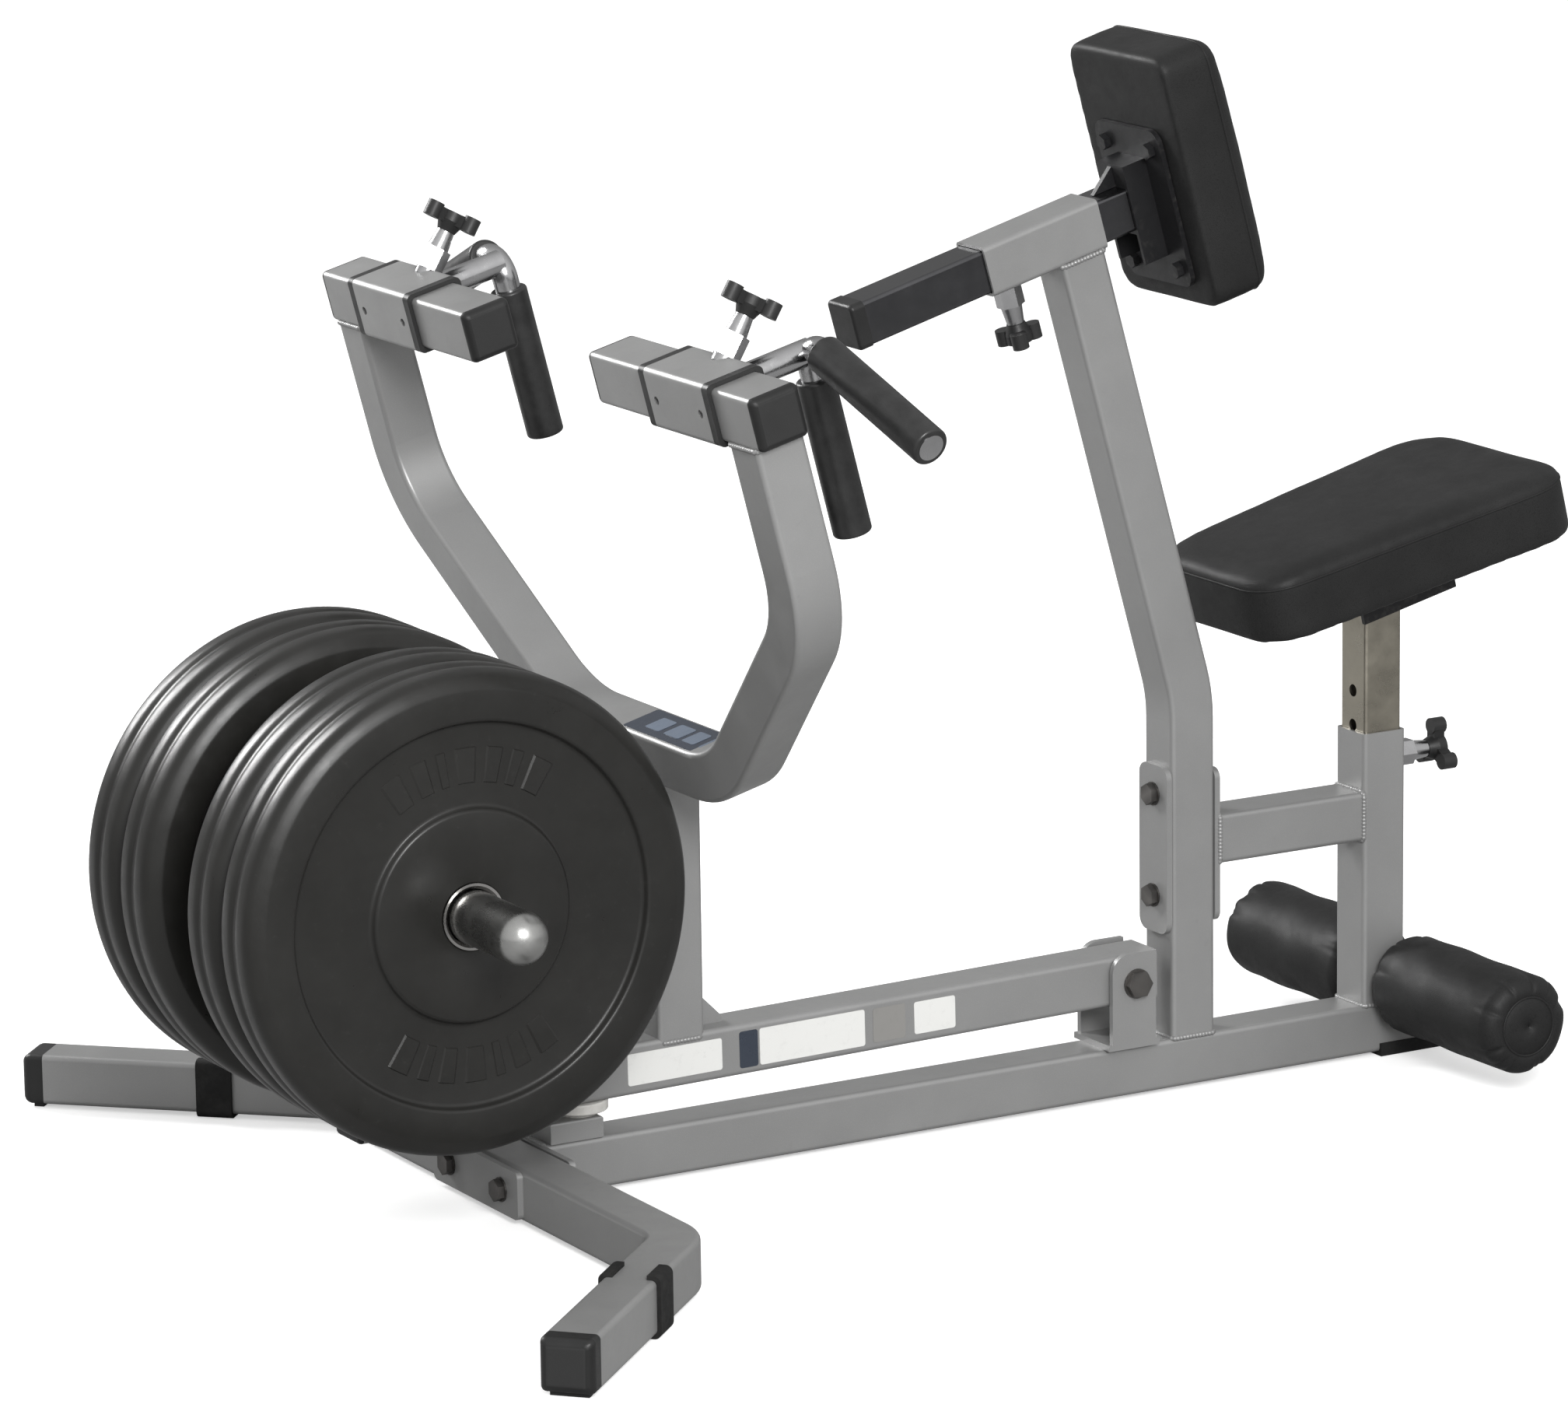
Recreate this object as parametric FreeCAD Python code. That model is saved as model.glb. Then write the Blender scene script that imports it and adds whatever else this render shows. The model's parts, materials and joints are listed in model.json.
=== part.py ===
"""Plate-loaded lever row: a seated, chest-supported rowing machine.

Millimetres.  +X points from the weight plates towards the seat, +Y to the side, +Z up.
The model is drawn with X = 0 at the front face of the upright and Z = 0 on the floor;
at the end every piece is moved so that the origin is the middle of the footprint.
"left" is the -Y side and "right" is the +Y side.
"""
import FreeCAD
import Part
import math
import os

from FreeCAD import Vector as V

# ---------------------------------------------------------------- driving dimensions
TUBE = 50.0              # outside of every main square tube
WALL = 3.0               # wall of the main tubes
CORNER = 5.0             # outside corner radius of square tube
SLIDE_GAP = 0.5          # clearance on each side of a telescoping tube
PLATE = 6.0              # thickness of flat steel plates

FLOOR_GAP = 4.0          # rubber under the frame
RAIL_TOP = FLOOR_GAP + TUBE
RAIL_MID = FLOOR_GAP + TUBE / 2
RAIL_REAR_X = 330.0

STAB_FRONT_X = -754.0    # front face of the cross tube of the front stabilizer
STAB_BEND_Y = 324.5      # inner corner of the bend
STAB_SPLAY = 43.5        # leg angle away from straight ahead, degrees
STAB_LEG = 291.0         # inner edge of a leg, corner to cap
STAB_BEND_R = 55.0       # centreline radius
BAND_WIDTH = 36.0        # rubber shoe round each leg
BAND_FROM_CAP = 195.0    # cap end of the leg to the far edge of the shoe

UPRIGHT_BEND_Z = 391.0   # where the front face starts to lean
UPRIGHT_LEAN = 15.5      # degrees towards the plates
UPRIGHT_BEND_R = 170.0

SEAT_POST_X = 251.0
SEAT_POST_TOP = 332.0
SEAT_PIN_Z = 302.0
SEAT_HOLE_PITCH = 35.0
SEAT_TUBE_Z = 248.5
INNER_TUBE = TUBE - 2 * WALL - 2 * SLIDE_GAP     # 43 mm square telescoping tube

PIVOT_X = -46.0
PIVOT_Z = 119.0
PIVOT_BOLT_R = 8.0
LEVER_TILT = 0.86        # degrees, front end low at rest
LEVER_OVER_PIVOT = 3.4   # tube centre above the pivot axis
LEVER_REAR = 28.0        # tube length behind the pivot

POST_X = -550.0          # middle of the post that carries the yoke
HORN_X = -845.0
HORN_Z = 329.0
HORN_R = 25.0
HORN_TIP_Y = 290.0
HORN_FREE_Y = 178.0      # the bar is turned down inboard of this, under the plates
HORN_CORE_R = 24.0
CARRIER_DEPTH = 76.0     # front to back size of the tube that holds the horn
PLATE_R = 225.0          # 450 mm bumper plate
PLATE_T = 70.0
PLATE_START_Y = 36.5
PLATE_BORE_R = 25.6
HUB_R = 31.0

YOKE_LEAN = 14.6         # degrees towards the plates
YOKE_CORNER = V(-689.5, 0, 821.0)    # top front edge line of the crosspieces
CROSS_IN_Y = 127.0
CROSS_OUT_Y = 413.0
ARM_Y = 383.0
YOKE_FLAT_V = -424.0     # centreline of the flat bottom, along the yoke's own up axis
YOKE_SLOPE_Y = 155.2     # where the flat bottom turns up
YOKE_SLOPE_V = -224.6    # where the slope turns upright
YOKE_BEND_LOW = 140.0
YOKE_BEND_HIGH = 115.0

CARRIAGE_Y = 288.0
CARRIAGE = 59.0          # outside of the sliding sleeve
CARRIAGE_LEN = 105.0
FLANGE_LEN = 10.0
GRIP_BACK = 131.0        # handle plane behind the crosspiece's front face
HANDLE_Y = 293.0
HANDLE_R = 12.5
GRIP_R = 18.0
LATERAL_DROP = 22.3      # degrees
LATERAL_TIP_Y = 479.0
LATERAL_TIP_V = -83.0
VERTICAL_TIP_V = -197.0
HANDLE_BEND_R = 20.0

CHEST_LEAN = 15.5
CHEST_AXIS = V(-131.0, 0, 855.0)     # a point on the axis of the chest-pad tube
CHEST_SLEEVE = (-76.0, 56.0)         # sleeve ends along that axis
CHEST_TUBE = (-212.0, 92.0)
CHEST_PLATE_A = 123.0                # back of the pad along the tube axis
CHEST_PAD = (172.0, 256.0, 65.0)     # width, height, thickness
CHEST_PAD_CORNER = 20.0
CHEST_PAD_UP = 20.5                  # pad centre above the tube axis
CHEST_PIN_A = -48.0
CHEST_HOLE_PITCH = 25.0

SEAT_SLOPE = 13.4
SEAT_TOP = V(55.0, 0, 512.0)         # front end of the seat's top surface
SEAT_LEN = 365.0
SEAT_FRONT_W = 206.0
SEAT_REAR_W = 262.0
SEAT_FRONT_CORNER = 46.0
SEAT_REAR_CORNER = 50.0
SEAT_THICK = 64.0

ROLLER_X = 277.0
ROLLER_Z = 74.0
ROLLER_R = 50.0
ROLLER_START_Y = 28.0
ROLLER_LEN = 208.0
AXLE_R = 12.5

BOLT_R = 6.0
CROSS_BOLT_Y = 52.0
UPRIGHT_BOLT_Z = (196.0, 298.0)
SIDES = (("left", -1), ("right", 1))

XY, UP = V(0, 0, 0), V(0, 0, 1)
AX, AY = V(1, 0, 0), V(0, 1, 0)
parts = {}


# ---------------------------------------------------------------- small helpers
def rad(degrees):
    return math.radians(degrees)


def leaning_axes(degrees):
    """Back axis and up axis of a piece that leans towards -X."""
    c, s = math.cos(rad(degrees)), math.sin(rad(degrees))
    return V(c, 0, s), V(-s, 0, c)


YOKE_E1, YOKE_E2 = leaning_axes(YOKE_LEAN)
CHEST_A1, CHEST_A2 = leaning_axes(CHEST_LEAN)


def frame(origin, x_axis, z_axis):
    """Placement whose local X and Z point along the given axes."""
    y_axis = z_axis.cross(x_axis)
    rotation = FreeCAD.Rotation(x_axis, y_axis, z_axis, "ZXY")
    return FreeCAD.Placement(origin, rotation)


def moved(shape, placement):
    out = shape.copy()
    out.Placement = placement.multiply(out.Placement)
    return out


def box(x0, x1, y0, y1, z0, z1):
    return Part.makeBox(x1 - x0, y1 - y0, z1 - z0, V(x0, y0, z0))


def rod(radius, start, end):
    return Part.makeCylinder(radius, (end - start).Length, start, end - start)


def ring(r_out, r_in, start, end):
    grow = (end - start).normalize() * 1.0
    return rod(r_out, start, end).cut(rod(r_in, start - grow, end + grow))


def rounded_rect(width, height, radius):
    """Wire in the YZ plane, centred on the X axis."""
    w, h, r = width / 2, height / 2, radius
    k = r * (1 - math.sqrt(0.5))
    corner = [(w, h), (-w, h), (-w, -h), (w, -h)]
    sign = [(1, 1), (-1, 1), (-1, -1), (1, -1)]
    edges, ends = [], []
    for (y, z), (sy, sz) in zip(corner, sign):
        a, b = V(0, y, z - sz * r), V(0, y - sy * r, z)
        if sy * sz < 0:
            a, b = b, a
        mid = V(0, y - sy * k, z - sz * k)
        edges.append(Part.Arc(a, mid, b).toShape())
        ends.append((a, b))
    for i in range(4):
        edges.append(Part.LineSegment(ends[i][1], ends[(i + 1) % 4][0]).toShape())
    return Part.Wire(Part.__sortEdges__(edges))


def rounded_bar(length, width, height=None, radius=CORNER):
    """Solid bar along +X from the YZ plane."""
    face = Part.Face(rounded_rect(width, height or width, radius))
    return face.extrude(V(length, 0, 0))


def tube_x(length, size=TUBE, wall=WALL, radius=CORNER):
    inner = rounded_bar(length + 2, size - 2 * wall, radius=max(radius - wall, 1.0))
    inner.translate(V(-1, 0, 0))
    return rounded_bar(length, size, radius=radius).cut(inner)


def tube_between(start, end, size=TUBE, wall=WALL, side=AY, radius=CORNER):
    """Square tube from start to end; two of its faces are square to `side`."""
    x_axis = (end - start).normalize()
    z_axis = x_axis.cross(side).normalize()
    return moved(tube_x((end - start).Length, size, wall, radius), frame(start, x_axis, z_axis))


def filleted_path(points, radii):
    """Wire of straight runs with a tangent arc at every inner point."""
    edges, here = [], points[0]
    for i, radius in enumerate(radii, start=1):
        a = (points[i - 1] - points[i]).normalize()
        b = (points[i + 1] - points[i]).normalize()
        half = a.getAngle(b) / 2
        cut = radius / math.tan(half)
        centre = points[i] + (a + b).normalize() * (radius / math.sin(half))
        p, q = points[i] + a * cut, points[i] + b * cut
        mid = centre + (points[i] - centre).normalize() * radius
        edges.append(Part.LineSegment(here, p).toShape())
        edges.append(Part.Arc(p, mid, q).toShape())
        here = q
    edges.append(Part.LineSegment(here, points[-1]).toShape())
    return Part.Wire(edges)


def swept(profile, path, side):
    """Solid swept along a flat path whose plane is square to `side`."""
    maker = Part.BRepOffsetAPI.MakePipeShell(path)
    maker.setBiNormalMode(side)
    maker.add(profile)
    maker.build()
    maker.makeSolid()
    return maker.shape()


def bent_tube(points, radii, side, size=TUBE, wall=WALL):
    """Square tube that follows a flat bent path."""
    path = filleted_path(points, radii)
    x_axis = (points[1] - points[0]).normalize()
    place = frame(points[0], x_axis, x_axis.cross(side).normalize())
    outer = swept(moved(rounded_rect(size, size, CORNER), place), path, side)
    inside = size - 2 * wall
    inner = swept(moved(rounded_rect(inside, inside, CORNER - wall), place), path, side)
    return outer.cut(inner)


def bent_rod(radius, points, radii, side):
    path = filleted_path(points, radii)
    circle = Part.Circle(points[0], (points[1] - points[0]).normalize(), radius)
    return swept(Part.Wire(circle.toShape()), path, side)


def hex_bar(across, start, end):
    radius = across / math.sqrt(3)
    prism = Part.makePolygon([V(radius * math.cos(rad(60 * k)), radius * math.sin(rad(60 * k)), 0)
                              for k in range(7)])
    bar = Part.Face(prism).extrude(V(0, 0, (end - start).Length))
    return moved(bar, FreeCAD.Placement(start, FreeCAD.Rotation(UP, end - start)))


def softened(shape, radius, keep=lambda edge: True):
    """Fillet the edges that `keep` picks; give the plain shape back if that fails."""
    edges = [edge for edge in shape.Edges if keep(edge)]
    try:
        out = shape.makeFillet(radius, edges)
        return out if out.isValid() else shape
    except Exception:
        return shape


def group(solids):
    return Part.makeCompound(solids)


def both_sides(make):
    return group([make(side) for _, side in SIDES])


def bolt(head_at, direction, shank, grip, across=19.0, nut=True):
    """Hex bolt with washer faces: the head sits on head_at, direction points into the joint."""
    d = direction.normalize()
    head = hex_bar(across, head_at - d * 8.0, head_at - d * 1.5)
    washer = rod(across * 0.62, head_at - d * 1.5, head_at)
    body = rod(shank, head_at - d * 1.5, head_at + d * (grip + 12.0))
    pieces = head.fuse([washer, body])
    if nut:
        far = head_at + d * grip
        lock = hex_bar(across, far + d * 1.5, far + d * 10.0)
        pieces = pieces.fuse([lock, rod(across * 0.62, far, far + d * 1.5)])
    return pieces.removeSplitter()


# ---------------------------------------------------------------- base frame
def stab_points():
    """Centreline of the stabilizer: cross tube and two legs that splay forwards."""
    ahead = V(-math.cos(rad(STAB_SPLAY)), 0, 0)
    out = math.sin(rad(STAB_SPLAY))
    mid_x = STAB_FRONT_X + TUBE / 2
    # the inner corner and the centreline corner lie on the bend's bisector
    shift = TUBE / 2 * math.tan(rad((90 - STAB_SPLAY) / 2))
    corner_y = STAB_BEND_Y + shift
    reach = STAB_LEG + shift
    ends = []
    for side in (-1, 1):
        corner = V(mid_x, side * corner_y, RAIL_MID)
        ends.append((corner + V(ahead.x * reach, side * out * reach, 0), corner))
    return [ends[0][0], ends[0][1], ends[1][1], ends[1][0]]


def leg_axes(side):
    """End of a leg's centreline and the direction it points."""
    points = stab_points()
    end, corner = (points[0], points[1]) if side < 0 else (points[3], points[2])
    return end, (end - corner).normalize()


def front_stabilizer():
    tube = bent_tube(stab_points(), [STAB_BEND_R, STAB_BEND_R], UP)
    for y in (-CROSS_BOLT_Y, CROSS_BOLT_Y):
        tube = tube.cut(rod(BOLT_R + 0.3, V(-800, y, RAIL_MID), V(-600, y, RAIL_MID)))
    return tube


def leg_cap(side):
    """Domed plug in the open end of a leg, with a small heel that reaches the floor."""
    end, out = leg_axes(side)
    place = frame(end, out, UP)
    bead = softened(rounded_bar(22.0, TUBE, radius=CORNER), 9.0,
                    lambda e: e.BoundBox.XMin > 20 and e.Length > 20)
    plug = rounded_bar(24.0, TUBE - 2 * WALL - 0.4, radius=1.8)
    plug.translate(V(-24, 0, 0))
    heel = box(2.0, 12.0, -18.0, 18.0, -RAIL_MID, -TUBE / 2 + 1.0)
    return moved(bead.fuse([plug, heel]).removeSplitter(), place)


def leg_band(side):
    """Rubber shoe wrapped round a leg; it carries the machine on the floor."""
    end, out = leg_axes(side)
    outer = rounded_bar(BAND_WIDTH, TUBE + 2 * FLOOR_GAP, radius=CORNER + 2)
    inner = rounded_bar(BAND_WIDTH + 4.0, TUBE, radius=CORNER)
    inner.translate(V(-2, 0, 0))
    top_slot = box(-2, BAND_WIDTH + 2, -16, 16, 0, 40)
    place = frame(end - out * BAND_FROM_CAP, out, UP)
    return moved(outer.cut(inner).cut(top_slot), place)


def main_rail():
    start = STAB_FRONT_X + TUBE + PLATE
    return tube_between(V(start, 0, RAIL_MID), V(RAIL_REAR_X, 0, RAIL_MID))


def rear_foot():
    """Rubber boot over the rear end of the rail."""
    x0, x1 = RAIL_REAR_X - 84.0, RAIL_REAR_X + 7.0
    half = TUBE / 2 + 3.0
    boot = box(x0, x1, -half, half, 0, FLOOR_GAP + 9.0)
    cap = softened(box(RAIL_REAR_X, x1, -half, half, 0, RAIL_TOP + 1.0), 4.0,
                   lambda e: e.BoundBox.XMin > x1 - 1 and e.Length > 20)
    plug = rounded_bar(26.0, TUBE - 2 * WALL - 0.4, radius=1.8)
    plug.translate(V(RAIL_REAR_X - 26.0, 0, RAIL_MID))
    rail = rounded_bar(x1 - x0 + 10, TUBE, radius=CORNER)
    rail.translate(V(x0 - 10 - (x1 - RAIL_REAR_X), 0, RAIL_MID))
    return boot.fuse(cap).cut(rail).fuse(plug).removeSplitter()


def plate_with_round_ends(centre, normal, long_axis, length, width, thick=PLATE, radius=10.0):
    face = Part.Face(rounded_rect(width, length, radius))
    plate = face.extrude(V(thick, 0, 0))
    return moved(plate, frame(centre, normal, long_axis))


def mounting_plates():
    """Bolted plates: two on the stabilizer, two on the upright."""
    wide = 170.0
    front = moved(rounded_bar(PLATE, wide, TUBE - 4, 6.0),
                  FreeCAD.Placement(V(STAB_FRONT_X - PLATE, 0, RAIL_MID), FreeCAD.Rotation()))
    rear = moved(rounded_bar(PLATE, wide, TUBE, 6.0),
                 FreeCAD.Placement(V(STAB_FRONT_X + TUBE, 0, RAIL_MID), FreeCAD.Rotation()))
    tall, mid = 168.0, 243.0
    ahead = plate_with_round_ends(V(-PLATE, 0, mid), AX, UP, tall, TUBE, PLATE, 12.0)
    behind = plate_with_round_ends(V(TUBE, 0, mid), AX, UP, tall - 14, TUBE, PLATE, 10.0)
    holes = [rod(BOLT_R + 0.3, V(-800, y, RAIL_MID), V(-600, y, RAIL_MID))
             for y in (-CROSS_BOLT_Y, CROSS_BOLT_Y)]
    holes += [rod(BOLT_R + 0.3, V(-60, 0, z), V(90, 0, z)) for z in UPRIGHT_BOLT_Z]
    return group([p.cut(Part.makeCompound(holes)) for p in (front, rear, ahead, behind)])


def frame_bolts():
    cross = [bolt(V(STAB_FRONT_X - PLATE, y, RAIL_MID), AX, BOLT_R, TUBE + 2 * PLATE)
             for y in (-CROSS_BOLT_Y, CROSS_BOLT_Y)]
    up = [bolt(V(-PLATE, 0, z), AX, BOLT_R, TUBE + 2 * PLATE) for z in UPRIGHT_BOLT_Z]
    return group(cross + up)


def upright_points():
    lean = rad(UPRIGHT_LEAN)
    shift = TUBE / 2 * math.tan(lean / 2)
    corner = V(TUBE / 2, 0, UPRIGHT_BEND_Z + shift)
    top = corner + V(-math.sin(lean), 0, math.cos(lean)) * 600.0
    return [V(TUBE / 2, 0, RAIL_TOP), corner, top]


def sleeve_block(size):
    """Straight bar along the chest-pad axis, longer than the sleeve at both ends."""
    start = CHEST_AXIS + CHEST_A1 * (CHEST_SLEEVE[0] - 200)
    bar = rounded_bar(CHEST_SLEEVE[1] - CHEST_SLEEVE[0] + 400, size, radius=0.5)
    return moved(bar, frame(start, CHEST_A1, CHEST_A2))


def main_upright():
    """Bent tube from the rail to the underside of the chest-pad sleeve."""
    tube = bent_tube(upright_points(), [UPRIGHT_BEND_R], AY)
    above = moved(box(-500, 500, -100, 100, -TUBE / 2, 500), frame(CHEST_AXIS, CHEST_A1, CHEST_A2))
    tube = tube.cut(above)
    for z in UPRIGHT_BOLT_Z:
        tube = tube.cut(rod(BOLT_R + 0.3, V(-60, 0, z), V(90, 0, z)))
    return tube


def chest_sleeve():
    start = CHEST_AXIS + CHEST_A1 * CHEST_SLEEVE[0]
    end = CHEST_AXIS + CHEST_A1 * CHEST_SLEEVE[1]
    hole_at = CHEST_AXIS + CHEST_A1 * CHEST_PIN_A
    hole = rod(6.3, hole_at - CHEST_A2 * 40, hole_at)
    return tube_between(start, end).cut(hole)


def seat_frame_tube():
    start = V(TUBE + PLATE, 0, SEAT_TUBE_Z)
    tube = tube_between(start, V(SEAT_POST_X - TUBE / 2, 0, SEAT_TUBE_Z))
    nuts = [rod(13.5, V(40, 0, z), V(80, 0, z)) for z in UPRIGHT_BOLT_Z]
    return tube.cut(group(nuts))


def seat_post_sleeve():
    post = tube_between(V(SEAT_POST_X, 0, RAIL_TOP), V(SEAT_POST_X, 0, SEAT_POST_TOP))
    axle = rod(AXLE_R, V(ROLLER_X, -60, ROLLER_Z), V(ROLLER_X, 60, ROLLER_Z))
    pin = rod(6.3, V(SEAT_POST_X, 0, SEAT_PIN_Z), V(SEAT_POST_X + 40, 0, SEAT_PIN_Z))
    return post.cut(axle).cut(pin)


def roller_axle():
    reach = ROLLER_START_Y + ROLLER_LEN - 12.0
    return ring(AXLE_R, AXLE_R - 2.5, V(ROLLER_X, -reach, ROLLER_Z), V(ROLLER_X, reach, ROLLER_Z))


def pivot_bracket():
    """Two ears with rounded front corners on a base plate."""
    x0, x1, gap = -74.0, -24.0, TUBE / 2 + 1.5
    top = PIVOT_Z + 31.0
    base = box(x0 - 4, x1 + 4, -gap - PLATE, gap + PLATE, RAIL_TOP, RAIL_TOP + PLATE)
    ears = []
    for side in (-1, 1):
        y0, y1 = sorted((side * gap, side * (gap + PLATE)))
        ear = box(x0, x1, y0, y1, RAIL_TOP, top)
        ears.append(softened(ear, 20.0, lambda e: abs(e.Length - PLATE) < 0.1
                             and e.BoundBox.ZMin > top - 1 and e.BoundBox.XMax < x0 + 1))
    hole = rod(PIVOT_BOLT_R + 0.05, V(PIVOT_X, -60, PIVOT_Z), V(PIVOT_X, 60, PIVOT_Z))
    return base.fuse(ears).cut(hole).removeSplitter()


def pivot_bolt():
    outside = TUBE / 2 + 1.5 + PLATE
    return bolt(V(PIVOT_X, -outside, PIVOT_Z), AY, PIVOT_BOLT_R, 2 * outside, across=24.0)


def bump_stop():
    block = box(-692, -636, -TUBE / 2, TUBE / 2, RAIL_TOP, RAIL_TOP + 20)
    return softened(block, 2.0, lambda e: e.BoundBox.ZMin > RAIL_TOP + 19)


def lever_bottom_z(x):
    lean = rad(LEVER_TILT)
    centre = PIVOT_Z + LEVER_OVER_PIVOT + (x - PIVOT_X) * math.tan(lean)
    return centre - TUBE / 2 / math.cos(lean)


def bump_pad():
    """Round bumper under the lever; its top follows the lever's tilt."""
    x, z = -650.0, RAIL_TOP + 20.0
    neck = rod(20.0, V(x, 0, z), V(x, 0, z + 6))
    head = rod(29.0, V(x, 0, z + 4), V(x, 0, z + 30))
    lean = rad(LEVER_TILT)
    cutter = box(-100, 100, -60, 60, 0, 60)
    at = V(x, 0, lever_bottom_z(x) - 0.3)
    cutter = moved(cutter, frame(at, V(math.cos(lean), 0, math.sin(lean)),
                                 V(-math.sin(lean), 0, math.cos(lean))))
    return softened(neck.fuse(head).cut(cutter).removeSplitter(), 1.5,
                    lambda e: e.BoundBox.DiagonalLength > 70 and e.BoundBox.ZMin > z + 2)


# ---------------------------------------------------------------- pull pins
def pin_frame(origin, out_axis):
    side = AY if abs(out_axis.y) < 0.9 else AX
    return frame(origin, side, out_axis)


BARREL_LEN = 40.0


def pin_barrel(place, seat_cut=None):
    """Turned barrel: a wide hexagonal base and a slimmer neck, hollow for the spring."""
    base = hex_bar(24.0, V(0, 0, 0), V(0, 0, 22.0))
    neck = Part.makeCone(10.5, 8.5, BARREL_LEN - 22.0, V(0, 0, 22.0))
    body = base.fuse(neck)
    spring_room = Part.makeCylinder(6.6, BARREL_LEN - 7.0, V(0, 0, -8.0))
    stem_hole = Part.makeCylinder(4.05, BARREL_LEN + 20, V(0, 0, -10.0))
    skirt = Part.makeCylinder(11.0, 7.0, V(0, 0, -7.0))
    body = moved(body.fuse(skirt).cut(spring_room).cut(stem_hole).removeSplitter(), place)
    return body.cut(seat_cut) if seat_cut else body


def pin_plunger(place, nose):
    """Plunger with its collar, stem and closed-up spring; `nose` is how far it reaches inwards."""
    tip = Part.makeCylinder(5.9, nose, V(0, 0, -nose))
    collar = Part.makeCylinder(6.2, 4.0, V(0, 0, 0))
    stem = Part.makeCylinder(4.0, BARREL_LEN + 11.0, V(0, 0, 0))
    plunger = tip.fuse([collar, stem]).removeSplitter()
    coil = ring(5.9, 4.5, V(0, 0, 4.0), V(0, 0, 14.0))
    return moved(group([plunger, coil]), place)


def pin_knob(place, size=30.0):
    """Three-lobed hand knob."""
    z0 = BARREL_LEN + 0.5
    hub = Part.makeCone(9.0, 13.0, 10.0, V(0, 0, z0))
    body = hub.fuse(Part.makeCylinder(13.0, 9.0, V(0, 0, z0 + 10.0)))
    for k in range(3):
        turn = rad(90 + 120 * k)
        tip = V((size - 8) * math.cos(turn), (size - 8) * math.sin(turn), 0)
        lobe = Part.makeCylinder(8.0, 15.0, tip + V(0, 0, z0 + 6.0))
        arm = moved(box(0, size - 8, -6.5, 6.5, z0 + 7.0, z0 + 19.0),
                    FreeCAD.Placement(XY, FreeCAD.Rotation(UP, 90 + 120 * k)))
        body = body.fuse([lobe, arm])
    stem = Part.makeCylinder(4.0, 11.5, V(0, 0, z0 - 1.0))
    knob = softened(body.removeSplitter().cut(stem), 2.5, lambda e: e.BoundBox.ZMin > z0 + 18)
    return moved(knob, place)


def seat_pin_place():
    return pin_frame(V(SEAT_POST_X + TUBE / 2, 0, SEAT_PIN_Z), AX)


def chest_pin_place():
    at = CHEST_AXIS + CHEST_A1 * CHEST_PIN_A - CHEST_A2 * (TUBE / 2)
    return pin_frame(at, CHEST_A2 * -1)


def corner_point(side):
    """Top rear corner of a carriage, where its pull pin stands."""
    over = (CARRIAGE - TUBE) / 2
    back = YOKE_E1 * (TUBE + over - 2.0)
    return YOKE_CORNER + back + YOKE_E2 * (over - 2.0) + V(0, side * CARRIAGE_Y, 0)


def corner_pin_place(side):
    return pin_frame(corner_point(side), (YOKE_E1 + YOKE_E2).normalize())


# ---------------------------------------------------------------- lever assembly
def lever_axes():
    lean = rad(LEVER_TILT)
    return V(math.cos(lean), 0, math.sin(lean)), V(-math.sin(lean), 0, math.cos(lean))


def lever_line(distance):
    """Point on the lever tube's centreline; distance is measured back from the pivot."""
    along, up = lever_axes()
    return V(PIVOT_X, 0, PIVOT_Z) + up * LEVER_OVER_PIVOT + along * distance


LEVER_FRONT = -(PIVOT_X - HORN_X) - CARRIER_DEPTH / 2 - 4.0


def pivot_hole(radius):
    return rod(radius, V(PIVOT_X, -80, PIVOT_Z), V(PIVOT_X, 80, PIVOT_Z))


def lever_solid():
    along, up = lever_axes()
    bar = rounded_bar(LEVER_REAR - LEVER_FRONT, TUBE)
    return moved(bar, frame(lever_line(LEVER_FRONT), along, up))


def lever_tube():
    return tube_between(lever_line(LEVER_FRONT), lever_line(LEVER_REAR)).cut(pivot_hole(11.0))


def pivot_bushes():
    """Flanged plastic bushes pressed into the lever's side walls."""
    out = []
    for side in (-1, 1):
        inner_end = V(PIVOT_X, side * (TUBE / 2 - 10), PIVOT_Z)
        outer_end = V(PIVOT_X, side * (TUBE / 2 + 1.2), PIVOT_Z)
        flange_at = V(PIVOT_X, side * TUBE / 2, PIVOT_Z)
        bush = rod(11.0, inner_end, outer_end).fuse(rod(15.0, flange_at, outer_end))
        out.append(bush.cut(pivot_hole(PIVOT_BOLT_R + 0.05)).removeSplitter())
    return group(out)


def yoke_frame():
    return frame(YOKE_CORNER, YOKE_E1, YOKE_E2)


def yoke_point(y, v):
    """Point on the yoke's centre plane, by side offset and height along its up axis."""
    return YOKE_CORNER + YOKE_E1 * (TUBE / 2) + YOKE_E2 * v + V(0, y, 0)


def yoke_tube():
    points = [(-ARM_Y, -TUBE), (-ARM_Y, YOKE_SLOPE_V), (-YOKE_SLOPE_Y, YOKE_FLAT_V),
              (YOKE_SLOPE_Y, YOKE_FLAT_V), (ARM_Y, YOKE_SLOPE_V), (ARM_Y, -TUBE)]
    radii = [YOKE_BEND_HIGH, YOKE_BEND_LOW, YOKE_BEND_LOW, YOKE_BEND_HIGH]
    return bent_tube([yoke_point(y, v) for y, v in points], radii, YOKE_E1)


def below_yoke():
    """Half space under the flat bottom of the yoke."""
    return moved(box(-400, 400, -300, 300, YOKE_FLAT_V - TUBE / 2, 600), yoke_frame())


def lever_post():
    tube = tube_between(V(POST_X, 0, 120), V(POST_X, 0, 520))
    return tube.cut(below_yoke()).cut(lever_solid())


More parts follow.
